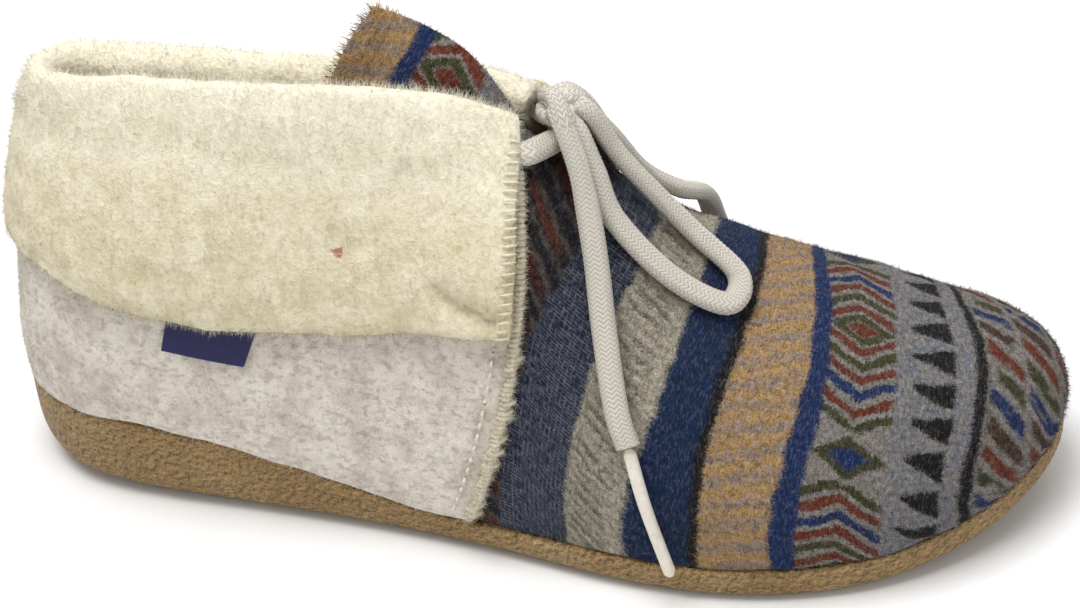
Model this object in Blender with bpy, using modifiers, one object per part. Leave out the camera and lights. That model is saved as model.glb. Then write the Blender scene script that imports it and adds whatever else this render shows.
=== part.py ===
"""A right-foot wool slipper boot: patterned vamp, felt quarters, fleece cuff, wedge sole and lace.

X runs from heel to toe, Y to the inner (medial) side and Z up, in metres. The origin is on the ground,
under the middle of the sole's length.
"""

import math
from collections import namedtuple

import bmesh
import bpy
from mathutils import Vector

MM = 0.001

# Driving sizes of the last and the sole
LENGTH = 262 * MM
BALL_WIDTH = 98 * MM
COLLAR_HEIGHT = 105 * MM
HEEL_THICKNESS = 24 * MM
FORE_THICKNESS = 9.5 * MM
TOE_SPRING = 8.5 * MM
SOLE_EDGE_ROUND = 1.2 * MM

# Walls and clearances
FIT = 0.3 * MM
SOFT_FIT = 0.6 * MM
VAMP_WALL = 2.8 * MM
QUARTER_STEP = 1.2 * MM
QUARTER_LINING = 1.8 * MM
CUFF_WALL = 5.5 * MM
CUFF_LINING = 2.2 * MM
CUFF_DROP = 54 * MM
CUFF_TUCK = 12 * MM
TONGUE_WALL = 3.0 * MM
INSOLE_THICKNESS = 4.5 * MM
LACE_DIAMETER = 4.2 * MM
AGLET_DIAMETER = 3.0 * MM
TAB_DROP = 9 * MM
TAB_WALL = 1.2 * MM

# One row for each station from the toe tip to the back of the heel.
# along: where the sole's edge stands, as a share of the length from the back of the heel. lateral, medial:
# the sole's half widths, and swell: how far the wall's foot stands in from the edge, as shares of the ball
# width. wedge: share of the heel's extra thickness. lift: share of the toe spring. roll: the bottom edge's
# radius, as a share of the heel's thickness.
SoleStation = namedtuple("SoleStation", "along lateral medial swell wedge lift roll")
SOLE_STATIONS = (
    SoleStation(1.000, -0.115, 0.115, 0.000, 0.00, 1.00, 0.18),
    SoleStation(0.984, 0.055, 0.270, 0.000, 0.00, 0.80, 0.18),
    SoleStation(0.938, 0.240, 0.385, 0.000, 0.00, 0.42, 0.18),
    SoleStation(0.866, 0.390, 0.452, 0.002, 0.00, 0.10, 0.18),
    SoleStation(0.782, 0.475, 0.478, 0.004, 0.00, 0.00, 0.18),
    SoleStation(0.698, 0.505, 0.474, 0.006, 0.00, 0.00, 0.19),
    SoleStation(0.612, 0.488, 0.440, 0.008, 0.00, 0.00, 0.21),
    SoleStation(0.519, 0.440, 0.390, 0.010, 0.00, 0.00, 0.23),
    SoleStation(0.405, 0.395, 0.352, 0.010, 0.12, 0.00, 0.26),
    SoleStation(0.271, 0.368, 0.342, 0.008, 0.74, 0.00, 0.30),
    SoleStation(0.149, 0.352, 0.337, 0.008, 1.00, 0.00, 0.34),
    SoleStation(0.072, 0.306, 0.296, 0.008, 1.00, 0.02, 0.37),
    SoleStation(0.019, 0.184, 0.173, 0.010, 1.00, 0.10, 0.40),
    SoleStation(0.000, 0.000, 0.000, 0.012, 1.00, 0.15, 0.41),
)
# The wall's top line at the same stations. along: a share of the length. mid, gap: the middle of the top line
# and half the collar's opening, as shares of the ball width. outer, inner: the height on each side, as shares
# of the collar height. rise: the wall's slope at its top, in degrees. crown, foot: how far the wall's curve
# keeps its end directions. bulge: how far it swells out above the sole, as a share of the ball width. flap:
# the turned-down cuff's length, as a share of its longest drop.
TopStation = namedtuple("TopStation", "along mid gap outer inner rise crown foot bulge flap")
TOP_STATIONS = (
    TopStation(0.915, 0.100, 0.000, 0.420, 0.420, 0, 0.40, 0.55, 0.045, 0.0),
    TopStation(0.912, 0.098, 0.000, 0.422, 0.422, 0, 0.40, 0.55, 0.045, 0.0),
    TopStation(0.893, 0.090, 0.000, 0.432, 0.432, 0, 0.42, 0.55, 0.040, 0.0),
    TopStation(0.848, 0.070, 0.000, 0.465, 0.465, 0, 0.44, 0.55, 0.035, 0.0),
    TopStation(0.778, 0.045, 0.000, 0.520, 0.520, 0, 0.45, 0.55, 0.030, 0.0),
    TopStation(0.700, 0.025, 0.000, 0.590, 0.590, 0, 0.44, 0.52, 0.028, 0.0),
    TopStation(0.630, 0.010, 0.000, 0.710, 0.710, 0, 0.36, 0.42, 0.024, 0.75),
    TopStation(0.555, 0.000, 0.070, 0.885, 0.885, 0, 0.24, 0.34, 0.020, 0.80),
    TopStation(0.455, 0.000, 0.105, 1.010, 0.955, 60, 0.30, 0.34, 0.020, 0.93),
    TopStation(0.300, 0.000, 0.105, 1.000, 0.940, 62, 0.30, 0.34, 0.020, 1.0),
    TopStation(0.170, 0.000, 0.100, 0.990, 0.950, 62, 0.30, 0.34, 0.020, 0.93),
    TopStation(0.106, 0.000, 0.092, 0.980, 0.960, 64, 0.30, 0.34, 0.014, 0.80),
    TopStation(0.072, 0.000, 0.062, 0.972, 0.965, 68, 0.30, 0.34, 0.010, 0.72),
    TopStation(0.060, 0.000, 0.000, 0.968, 0.968, 72, 0.30, 0.34, 0.008, 0.70),
)
HEEL = len(SOLE_STATIONS) - 1
ROUND = 2 * HEEL
THROAT = 7.0
QUARTER_FRONT = 7.36
CUFF_FRONT = 7.42
TAB_FRONT = 9.08
TAB_BACK = 9.66
QUARTER_LEAD = 0.42
QUARTER_LEAD_REACH = 3
EDGE_STEP = 0.02
SHARP_ANGLE = math.radians(40)

Wall = namedtuple("Wall", "x y top_x top_y top_z mid rise crown foot bulge swell wedge lift roll flap")


def ring_row(index):
    """The tables' rows at a whole place of the round trip: toe, lateral side, heel, medial side and back."""
    outer = index <= HEEL
    sole = SOLE_STATIONS[index if outer else ROUND - index]
    top = TOP_STATIONS[index if outer else ROUND - index]
    side = -1 if outer else 1
    width = sole.lateral if outer else sole.medial
    return Wall(
        x=(sole.along - 0.5) * LENGTH,
        y=side * width * BALL_WIDTH,
        top_x=(top.along - 0.5) * LENGTH,
        top_y=(top.mid + side * top.gap) * BALL_WIDTH,
        top_z=(top.outer if outer else top.inner) * COLLAR_HEIGHT,
        mid=top.mid * BALL_WIDTH,
        rise=math.radians(top.rise),
        crown=top.crown,
        foot=top.foot,
        bulge=top.bulge * BALL_WIDTH,
        swell=sole.swell * BALL_WIDTH,
        wedge=sole.wedge,
        lift=sole.lift,
        roll=sole.roll * HEEL_THICKNESS,
        flap=top.flap,
    )


RING = [ring_row(index) for index in range(ROUND)]


def smooth(share, before, start, end, after):
    """A value on the smooth curve from start to end that its neighbours steer."""
    leave, arrive = (end - before) / 2, (after - start) / 2
    square, cube = share**2, share**3
    return (
        (2 * cube - 3 * square + 1) * start
        + (cube - 2 * square + share) * leave
        + (3 * square - 2 * cube) * end
        + (cube - square) * arrive
    )


def wall_at(place):
    """The wall's sizes at a place of the round trip, between the table's rows."""
    whole = math.floor(place)
    rows = [RING[(whole + step) % ROUND] for step in (-1, 0, 1, 2)]
    wall = Wall(*(smooth(place - whole, *values) for values in zip(*rows)))
    return wall._replace(lift=max(0, wall.lift), wedge=min(1, max(0, wall.wedge)))


def from_toe(place):
    """How far a place lies from the toe, whichever way is shorter."""
    return min(place % ROUND, ROUND - place % ROUND)


def is_closed(place):
    """Whether the vamp closes over the foot at a place, in front of the collar's opening."""
    return from_toe(place) <= THROAT


def outward(place):
    """The level direction that points out of the sole's edge."""
    ahead, behind = wall_at(place + 0.02), wall_at(place - 0.02)
    return Vector((behind.y - ahead.y, ahead.x - behind.x, 0)).normalized()


def sole_bottom(wall):
    return wall.lift * TOE_SPRING


def sole_top(wall):
    return sole_bottom(wall) + FORE_THICKNESS + wall.wedge * (HEEL_THICKNESS - FORE_THICKNESS)


def sole_edge(place, inset, height):
    """A point inside the sole's edge, at a height over the ground."""
    wall = wall_at(place)
    return Vector((wall.x, wall.y, height)) - outward(place) * inset


def wall_ends(place, closed):
    """The four points that steer the wall's curve from the sole to the top line."""
    wall = wall_at(place)
    foot = sole_edge(place, wall.swell, sole_top(wall) + FIT)
    top = Vector((wall.top_x, wall.mid if closed else wall.top_y, wall.top_z))
    rise = 0 if closed else wall.rise
    level = Vector((foot.x - top.x, foot.y - top.y, 0)).normalized()
    low = foot + outward(place) * wall.bulge + Vector((0, 0, wall.foot * (top.z - foot.z)))
    down = Vector((0, 0, -math.sin(rise)))
    high = top + (level * math.cos(rise) + down) * wall.crown * (top - foot).length
    return foot, low, high, top


def led_forward(place, share):
    """The place moved towards the toe half way up, so that the quarters' front edges bow forward."""
    side = 1 if place <= HEEL else -1
    nearness = max(0, 1 - abs(from_toe(place) - QUARTER_FRONT) / QUARTER_LEAD_REACH)
    return place - side * QUARTER_LEAD * math.sin(math.pi * share) * nearness * nearness * (3 - 2 * nearness)


def wall_point(place, share, closed=None):
    """A point of the last's surface: share 0 is at the sole and 1 at the top line."""
    closed = is_closed(place) if closed is None else closed
    foot, low, high, top = wall_ends(led_forward(place, share), closed)
    left = 1 - share
    return foot * left**3 + low * 3 * share * left**2 + high * 3 * share**2 * left + top * share**3


def wall_normal(place, share):
    """The direction that points out of the wall."""
    closed = is_closed(place)
    along = wall_point(place + 0.03, share, closed) - wall_point(place - 0.03, share, closed)
    up = wall_point(place, min(1, share + 0.02)) - wall_point(place, max(0, share - 0.02))
    return up.cross(along).normalized()


def off_wall(place, share, depth):
    """A point at a depth over the wall, or under it where depth is negative."""
    return wall_point(place, share) + wall_normal(place, share) * depth


def share_below_top(place, distance, steps=24):
    """The share of the wall's curve that lies a distance below its top line."""
    last = wall_point(place, 1)
    walked = 0
    for step in range(1, steps + 1):
        point = wall_point(place, 1 - step / steps)
        stride = (point - last).length
        if walked + stride >= distance:
            return 1 - (step - 1 + (distance - walked) / stride) / steps
        walked += stride
        last = point
    return 0


def spread(start, end, count):
    """Evenly spaced numbers from start to end."""
    return [start + (end - start) * step / count for step in range(count + 1)]


def mirror_places(places):
    """The places of the outer side, and the same ones of the inner side after them."""
    return places + [ROUND - place for place in reversed(places[:-1])]


# Places round the shoe at which each piece has a section
VAMP_PLACES = (
    spread(0, 2, 6) + spread(2.5, THROAT, 9) + [(THROAT + QUARTER_FRONT) / 2, QUARTER_FRONT - EDGE_STEP]
)
QUARTER_PLACES = [QUARTER_FRONT] + spread(CUFF_FRONT, 8.05, 2) + spread(8.5, 11, 5) + spread(11.33, HEEL, 5)
WALL_SHARES = spread(0, 0.6, 6) + spread(0.68, 1, 4)


def new_object(name, bm, material):
    """An object in the shoe's collection, made from a bmesh."""
    bmesh.ops.recalc_face_normals(bm, faces=bm.faces)
    mesh = bpy.data.meshes.new(name)
    bm.to_mesh(mesh)
    bm.free()
    mesh.shade_smooth()
    mesh.set_sharp_from_angle(angle=SHARP_ANGLE)
    mesh.materials.append(material)
    piece = bpy.data.objects.new(name, mesh)
    bpy.data.collections[COLLECTION].objects.link(piece)
    return piece


def loft(sections, closed_rows=True, caps=True):
    """A bmesh skinned over sections, each a list of as many points; rows are the points' own order."""
    bm = bmesh.new()
    grid = [[bm.verts.new(point) for point in section] for section in sections]
    count = len(sections[0])
    for near, far in zip(grid, grid[1:]):
        for start in range(count if closed_rows else count - 1):
            end = (start + 1) % count
            bm.faces.new((near[start], near[end], far[end], far[start]))
    if caps:
        bm.faces.new(grid[0])
        bm.faces.new(reversed(grid[-1]))
    return bm


def plate_across(name, material, rings):
    """A solid whose rings run round the shoe, closed below and above by strips from side to side."""
    bm = bmesh.new()
    loops = [[bm.verts.new(point) for point in ring] for ring in rings]
    count = len(loops[0])
    for low, high in zip(loops, loops[1:]):
        for start in range(count):
            end = (start + 1) % count
            bm.faces.new((low[start], low[end], high[end], high[start]))
    for loop in (loops[0], loops[-1]):
        half = count // 2
        for start in range(half):
            corners = [loop[start], loop[start + 1], loop[-start - 1], loop[-start]]
            bm.faces.new(list(dict.fromkeys(corners)))
    return new_object(name, bm, material)


def outsole(material):
    """The moulded wedge unit: flat from heel to ball, sprung at the toe, with a rolled bottom edge."""
    places = mirror_places(spread(0, 2, 8) + spread(2.4, 10.8, 21) + spread(11, HEEL, 8))[:-1]
    rings = []
    for angle in spread(0, math.pi / 2, 3):
        ring = []
        for place in places:
            wall = wall_at(place)
            height = sole_bottom(wall) + wall.roll * (1 - math.cos(angle))
            ring.append(sole_edge(place, wall.roll * (1 - math.sin(angle)), height))
        rings.append(ring)
    for angle in spread(0, math.pi / 2, 2):
        inset = SOLE_EDGE_ROUND * (1 - math.cos(angle))
        below = SOLE_EDGE_ROUND * (1 - math.sin(angle))
        rings.append([sole_edge(place, inset, sole_top(wall_at(place)) - below) for place in places])
    return plate_across("outsole", material, rings)


def insole(material):
    """The footbed, cut to the inside of the wall."""
    places = mirror_places(spread(0, 2, 5) + spread(2.5, 10.5, 16) + spread(11, HEEL, 6))[:-1]
    rings = []
    for height in (0, INSOLE_THICKNESS):
        ring = []
        for place in places:
            wall = wall_at(place)
            inset = wall.swell + VAMP_WALL + 2 * SOFT_FIT
            ring.append(sole_edge(place, inset, sole_top(wall) + SOFT_FIT + height))
        rings.append(ring)
    return plate_across("insole", material, rings)


def upper(material):
    """The hollow shell of vamp and quarters: open at the collar and under the foot."""
    places = mirror_places(VAMP_PLACES + QUARTER_PLACES)[:-1]
    base = bmesh.new()
    verts = {}
    depths = []
    for place in places:
        nearest = from_toe(place)
        for share in WALL_SHARES:
            ridge = share == 1 and is_closed(place)
            key = (round(nearest if ridge else place, 4), share)
            if key not in verts:
                verts[key] = base.verts.new(wall_point(place, share))
                depths.append((QUARTER_STEP, QUARTER_LINING) if nearest >= QUARTER_FRONT else (0, VAMP_WALL))
    for start, end in zip(places, places[1:] + places[:1]):
        for low, high in zip(WALL_SHARES, WALL_SHARES[1:]):
            corners = []
            for place, share in ((start, low), (start, high), (end, high), (end, low)):
                ridge = share == 1 and is_closed(place)
                corners.append(verts[(round(from_toe(place) if ridge else place, 4), share)])
            base.faces.new(corners)
    bmesh.ops.recalc_face_normals(base, faces=base.faces)
    base.normal_update()
    base.verts.index_update()
    probe = verts[(round(places[4], 4), 0.5)]
    facing = 1 if probe.normal.dot(wall_normal(places[4], 0.5)) > 0 else -1
    bm = bmesh.new()
    outer = [bm.verts.new(v.co + v.normal * facing * depths[v.index][0]) for v in base.verts]
    inner = [bm.verts.new(v.co - v.normal * facing * depths[v.index][1]) for v in base.verts]
    for face in base.faces:
        order = [vert.index for vert in face.verts]
        bm.faces.new([outer[index] for index in order])
        bm.faces.new([inner[index] for index in reversed(order)])
    for edge in base.edges:
        if edge.is_boundary:
            start, end = (vert.index for vert in edge.verts)
            bm.faces.new((outer[start], outer[end], inner[end], inner[start]))
    base.free()
    return new_object("upper", bm, material)


def band_point(place, distance, depth):
    """A point at a distance below the top line, or past it where distance is negative, and over the wall."""
    if distance > 0:
        return off_wall(place, share_below_top(place, distance), depth)
    rise = (wall_point(place, 1) - wall_point(place, 0.97)).normalized()
    return wall_point(place, 1) + wall_normal(place, 0.99) * depth - rise * distance


# The cuff's cut, round its edge: down is a share of the flap's drop, over a share of the fold's wall above
# the top line, tuck a share of the part inside, and out and back shares of the outer and inner thickness.
Fold = namedtuple("Fold", "down over tuck out back")
CUFF_CUT = (
    Fold(1.00, 0, 0, 0.25, None),
    Fold(0.92, 0, 0, 0.00, None),
    Fold(0.60, 0, 0, 0.00, None),
    Fold(0.40, 0, 0, 0.00, None),
    Fold(0.24, 0, 0, 0.00, None),
    Fold(0.11, 0, 0, 0.00, None),
    Fold(0.00, 0, 0, 0.00, None),
    Fold(0, 0, 0.00, None, 0.0),
    Fold(0, 0, 0.50, None, 0.0),
    Fold(0, 0, 1.00, None, 0.0),
    Fold(0, 0, 1.00, None, 1.0),
    Fold(0, 0, 0.50, None, 1.0),
    Fold(0, 0.25, 0, None, 0.9),
    Fold(0, 0.80, 0, None, 0.0),
    Fold(0, 1.00, 0, 0.00, None),
    Fold(0, 0.75, 0, 0.60, None),
    Fold(0.10, 0, 0, 1.00, None),
    Fold(0.35, 0, 0, 1.05, None),
    Fold(0.65, 0, 0, 1.00, None),
    Fold(0.90, 0, 0, 0.95, None),
    Fold(1.00, 0, 0, 0.70, None),
)


def cuff(material):
    """The fleece collar, turned down over the quarters: an inverted U that is open at the front."""
    sections = []
    for place in mirror_places(QUARTER_PLACES[1:]):
        flap = wall_at(place).flap
        section = []
        for fold in CUFF_CUT:
            distance = fold.down * flap * CUFF_DROP - fold.over * CUFF_WALL + fold.tuck * CUFF_TUCK
            if fold.out is None:
                depth = -QUARTER_LINING - SOFT_FIT - fold.back * CUFF_LINING
            else:
                depth = QUARTER_STEP + SOFT_FIT + fold.out * flap * CUFF_WALL
            section.append(band_point(place, distance if distance > 0 else distance - SOFT_FIT, depth))
        sections.append(section)
    return new_object("cuff", loft(sections), material)


# The tongue's stations behind the vamp's edge, as its far, middle and near points: x as a share of the length
# from the back of the heel, y of the ball width and z of the collar height.
Leaf = namedtuple("Leaf", "far_x far_y far_z mid_x mid_y mid_z near_x near_y near_z")
TONGUE_LEAVES = (
    Leaf(0.532, 0.030, 0.842, 0.532, 0.000, 0.872, 0.532, -0.045, 0.832),
    Leaf(0.510, 0.022, 0.950, 0.508, 0.000, 0.972, 0.502, -0.045, 0.888),
    Leaf(0.485, 0.036, 1.055, 0.469, -0.006, 1.030, 0.450, -0.050, 0.886),
    Leaf(0.446, 0.092, 1.108, 0.424, -0.004, 1.070, 0.400, -0.046, 0.880),
    Leaf(0.378, 0.092, 1.171, 0.340, -0.012, 1.050, 0.312, -0.040, 0.857),
)
TONGUE_ROOTS = (6.2, 6.6)
TONGUE_ROOT_SPREAD = 0.14
TONGUE_ACROSS = 8


def tongue(material):
    """The patterned tongue: under the vamp at its root, and out through the slack collar to its raw end."""
    rows = []
    for root in TONGUE_ROOTS:
        row = []
        for step in range(TONGUE_ACROSS + 1):
            off_middle = 2 * step / TONGUE_ACROSS - 1
            place = ROUND - root if off_middle < 0 else root
            row.append(off_wall(place, 1 - TONGUE_ROOT_SPREAD * abs(off_middle), -VAMP_WALL - SOFT_FIT))
        rows.append(row)
    for leaf in TONGUE_LEAVES:
        far, middle, near = (
            Vector(((x - 0.5) * LENGTH, y * BALL_WIDTH, z * COLLAR_HEIGHT))
            for x, y, z in zip(leaf[0::3], leaf[1::3], leaf[2::3])
        )
        row = []
        for step in range(TONGUE_ACROSS + 1):
            share = step / TONGUE_ACROSS
            row.append(far * (1 - share) ** 2 + middle * 2 * share * (1 - share) + near * share**2)
        rows.append(row)
    bm = loft(rows, closed_rows=False, caps=False)
    sheet = new_object("tongue", bm, material)
    solidify = sheet.modifiers.new("thickness", "SOLIDIFY")
    solidify.thickness = TONGUE_WALL
    solidify.offset = -1
    solidify.use_even_offset = True
    return sheet


def side_tab(material):
    """The plain woven tab that hangs from under the cuff on the outer side."""
    near = QUARTER_STEP + FIT
    sections = []
    for place in spread(TAB_FRONT, TAB_BACK, 6):
        drop = wall_at(place).flap * CUFF_DROP
        top, low = drop + FIT, drop + TAB_DROP
        rows = [(top, near), (low, near), (low, near + TAB_WALL), (top, near + TAB_WALL)]
        sections.append([band_point(place, distance, depth) for distance, depth in rows])
    return new_object("side_tab", loft(sections), material)


# The lace's routes in millimetres. The bar is the crossing between the top eyelets, over the vamp. The others
# leave the knot and lie over the vamp.
KNOT_CENTRE = Vector((13.5, -1.0, 104.0)) * MM
KNOT_HALF_SIZES = Vector((5.7, 5.7, 5.0)) * MM
LACE_ROUTES = {
    "lace_bar": ((10.2, -12.2, 99.0), (14.8, 0.0, 96.6), (12.3, 9.0, 97.0)),
    "lace_end_near": (
        (16.7, -7.9, 103.2), (21.2, -13.2, 93.4), (25.3, -21.2, 78.7),
        (28.6, -30.4, 63.7), (32.8, -40.6, 48.8), (36.1, -44.7, 41.0),
    ),
    "lace_loop_near": (
        (20.9, 1.1, 103.8), (27.5, 1.6, 89.5), (43.0, 0.6, 72.0), (55.3, -5.2, 63.8), (54.2, -14.6, 62.2),
        (41.5, -15.1, 69.0), (28.2, -11.4, 81.0), (23.0, -7.0, 92.0), (20.2, -4.3, 102.4),
    ),
    "lace_end_far": (
        (18.5, 4.4, 101.2), (23.2, 9.4, 91.0), (28.8, 14.6, 78.2),
        (36.4, 19.5, 70.1), (40.3, 30.2, 61.6), (40.9, 40.2, 46.4),
    ),
    "lace_loop_far": (
        (13.2, 6.2, 105.8), (17.2, 12.6, 96.4), (21.0, 19.0, 81.8), (23.3, 28.8, 67.2), (18.6, 33.4, 60.2),
        (16.8, 24.4, 79.6), (14.8, 16.6, 93.6), (11.4, 10.6, 102.2), (8.9, 4.8, 105.6),
    ),
}
AGLET_ROUTES = {
    "aglet_near": ((36.25, -44.9, 40.5), (40.6, -49.8, 27.6), (46.6, -53.3, 10.5)),
    "aglet_far": ((40.95, 40.5, 45.9), (41.0, 44.8, 34.0), (41.0, 47.2, 21.4)),
}
POINTS_EACH_STRETCH = 2


def smooth_route(points):
    """The points of a smooth curve through a route's points, in metres."""
    found = []
    for index in range(len(points) - 1):
        around = [points[min(len(points) - 1, max(0, index + step))] for step in (-1, 0, 1, 2)]
        for part in range(POINTS_EACH_STRETCH):
            found.append([smooth(part / POINTS_EACH_STRETCH, *values) * MM for values in zip(*around)])
    return found + [[value * MM for value in points[-1]]]


def cord(name, points, diameter, material):
    """A round cord of one open curve through a route's points."""
    curve = bpy.data.curves.new(name, "CURVE")
    curve.dimensions = "3D"
    curve.bevel_depth = diameter / 2
    curve.bevel_resolution = 2
    curve.use_fill_caps = True
    spline = curve.splines.new("POLY")
    route = smooth_route(points)
    spline.points.add(len(route) - 1)
    for target, point in zip(spline.points, route):
        target.co = (*point, 1)
    curve.materials.append(material)
    piece = bpy.data.objects.new(name, curve)
    bpy.data.collections[COLLECTION].objects.link(piece)
    return piece


def lace_knot(material):
    """The bow's knot as one rounded lump over the crossing."""
    bm = bmesh.new()
    bmesh.ops.create_uvsphere(bm, u_segments=16, v_segments=10, radius=1)
    bmesh.ops.scale(bm, vec=KNOT_HALF_SIZES, verts=bm.verts)
    bmesh.ops.translate(bm, vec=KNOT_CENTRE, verts=bm.verts)
    return new_object("lace_knot", bm, material)


COLLECTION = "wool_slipper_boot"
Finish = namedtuple("Finish", "red green blue roughness")
FINISHES = {
    "tan_rubber": Finish(0.30, 0.19, 0.085, 0.55),
    "patterned_wool": Finish(0.20, 0.22, 0.27, 0.95),
    "cream_fleece": Finish(0.75, 0.70, 0.52, 1.0),
    "lace_cotton": Finish(0.72, 0.66, 0.55, 0.8),
    "aglet_plastic": Finish(0.75, 0.70, 0.60, 0.35),
    "navy_ribbon": Finish(0.02, 0.022, 0.09, 0.6),
}


def make_material(name, finish):
    """A plain Principled material of the finish's colour and roughness."""
    material = bpy.data.materials.new(name)
    material.use_nodes = True
    shader = material.node_tree.nodes["Principled BSDF"]
    shader.inputs["Base Color"].default_value = (finish.red, finish.green, finish.blue, 1)
    shader.inputs["Roughness"].default_value = finish.roughness
    return material


def main():
    """Clears the scene and builds every piece of the shoe."""
    for old in list(bpy.data.objects):
        bpy.data.objects.remove(old)
    bpy.context.scene.collection.children.link(bpy.data.collections.new(COLLECTION))
    materials = {name: make_material(name, finish) for name, finish in FINISHES.items()}
    outsole(materials["tan_rubber"])
    insole(materials["cream_fleece"])
    upper(materials["patterned_wool"])
    cuff(materials["cream_fleece"])
    tongue(materials["patterned_wool"])
    side_tab(materials["navy_ribbon"])
    for name, points in LACE_ROUTES.items():
        cord(name, points, LACE_DIAMETER, materials["lace_cotton"])
    for name, points in AGLET_ROUTES.items():
        cord(name, points, AGLET_DIAMETER, materials["aglet_plastic"])
    lace_knot(materials["lace_cotton"])


main()
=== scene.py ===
"""Looks of a lace-up wool slipper boot: banded vamp, felt quarters, fleece cuff, tied lace."""

from __future__ import annotations

import logging
import math
from collections.abc import Callable, Sequence
from dataclasses import dataclass, field
from enum import Enum

import bmesh
import bpy
import numpy as np
from mathutils import Matrix, Vector, noise
from mathutils.bvhtree import BVHTree


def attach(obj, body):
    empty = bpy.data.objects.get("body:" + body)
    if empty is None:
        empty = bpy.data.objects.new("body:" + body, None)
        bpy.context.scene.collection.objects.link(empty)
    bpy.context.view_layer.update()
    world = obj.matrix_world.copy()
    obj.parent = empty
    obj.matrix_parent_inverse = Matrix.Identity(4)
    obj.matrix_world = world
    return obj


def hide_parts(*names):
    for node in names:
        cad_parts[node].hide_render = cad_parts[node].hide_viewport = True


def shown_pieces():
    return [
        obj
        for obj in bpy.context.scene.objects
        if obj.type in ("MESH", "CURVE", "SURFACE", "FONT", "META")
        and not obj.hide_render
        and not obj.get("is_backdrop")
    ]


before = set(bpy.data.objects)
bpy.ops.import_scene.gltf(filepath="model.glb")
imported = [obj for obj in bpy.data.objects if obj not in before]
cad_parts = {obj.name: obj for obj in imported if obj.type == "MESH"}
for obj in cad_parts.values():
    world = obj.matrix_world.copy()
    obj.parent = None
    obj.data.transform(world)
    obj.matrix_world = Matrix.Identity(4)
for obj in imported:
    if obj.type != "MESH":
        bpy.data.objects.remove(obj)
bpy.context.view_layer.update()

LOG = logging.getLogger("slipper")
MM = 0.001
BODY = "root"
WEAVE_SCALE = 100.0

Colour = tuple[float, float, float, float]
Row = tuple[float, float, float]


class Slot(str, Enum):
    """The record's material slots."""

    RUBBER = "tan_rubber"
    WOOL = "patterned_wool"
    FLEECE = "cream_fleece"
    LACE = "lace_cotton"
    AGLET = "aglet_plastic"
    RIBBON = "navy_ribbon"


def srgb(red: int, green: int, blue: int) -> Colour:
    """A colour given in 0 to 255 screen values.

    Args:
        red: red, 0 to 255.
        green: green, 0 to 255.
        blue: blue, 0 to 255.

    Returns:
        The same colour in linear values, with alpha 1.
    """
    linear = [
        v / 12.92 if v <= 0.04045 else ((v + 0.055) / 1.055) ** 2.4
        for v in (red / 255, green / 255, blue / 255)
    ]
    return (linear[0], linear[1], linear[2], 1.0)


def in_metres(rows: Sequence[Row]) -> list[Vector]:
    """Points given in millimetres, as vectors in metres."""
    return [Vector(row) * MM for row in rows]


# Shader graphs


class Value:
    """One number socket, so that shader maths reads as Python expressions."""

    def __init__(self, graph: Graph, socket: bpy.types.NodeSocket) -> None:
        """Keeps the graph and the output socket."""
        self.graph = graph
        self.socket = socket

    def maths(self, operation: str, *others: Value | float, clamp: bool = False) -> Value:
        """One Math node on this value.

        Args:
            operation: the Math node's operation.
            others: its further operands.
            clamp: whether the result is held between 0 and 1.

        Returns:
            The node's result.
        """
        return self.graph.maths(operation, self, *others, clamp=clamp)

    def __add__(self, other: Value | float) -> Value:
        """This plus other."""
        return self.maths("ADD", other)

    def __radd__(self, other: float) -> Value:
        """Other plus this."""
        return self.maths("ADD", other)

    def __sub__(self, other: Value | float) -> Value:
        """This less other."""
        return self.maths("SUBTRACT", other)

    def __rsub__(self, other: float) -> Value:
        """Other less this."""
        return self.graph.maths("SUBTRACT", other, self)

    def __mul__(self, other: Value | float) -> Value:
        """This times other."""
        return self.maths("MULTIPLY", other)

    def __rmul__(self, other: float) -> Value:
        """Other times this."""
        return self.maths("MULTIPLY", other)

    def __truediv__(self, other: Value | float) -> Value:
        """This divided by other."""
        return self.maths("DIVIDE", other)

    def near(self, start: float, period: float) -> Value:
        """Distance to the nearest of the marks that repeat from start at this period."""
        return (self - start).maths("PINGPONG", period / 2)

    def above(self, edge: Value | float, soft: float) -> Value:
        """0 below the edge, 1 above it, with a soft step of this width."""
        return ((self - edge) * (1 / soft)).maths("ADD", 0.5, clamp=True)

    def below(self, edge: Value | float, soft: float) -> Value:
        """1 below the edge, 0 above it, with a soft step of this width."""
        return 1 - self.above(edge, soft)

    def within(self, low: float, high: float, soft: float) -> Value:
        """1 between low and high, with soft steps of this width."""
        return self.above(low, soft) * self.below(high, soft)

    def magnitude(self) -> Value:
        """This without its sign."""
        return self.maths("ABSOLUTE")

    def wave(self, length: float) -> Value:
        """A wave from 0 to 1 that repeats every length."""
        return (self * (math.tau / length)).maths("SINE") * 0.5 + 0.5


Feed = Value | bpy.types.NodeSocket | float | Sequence[float]


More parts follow.
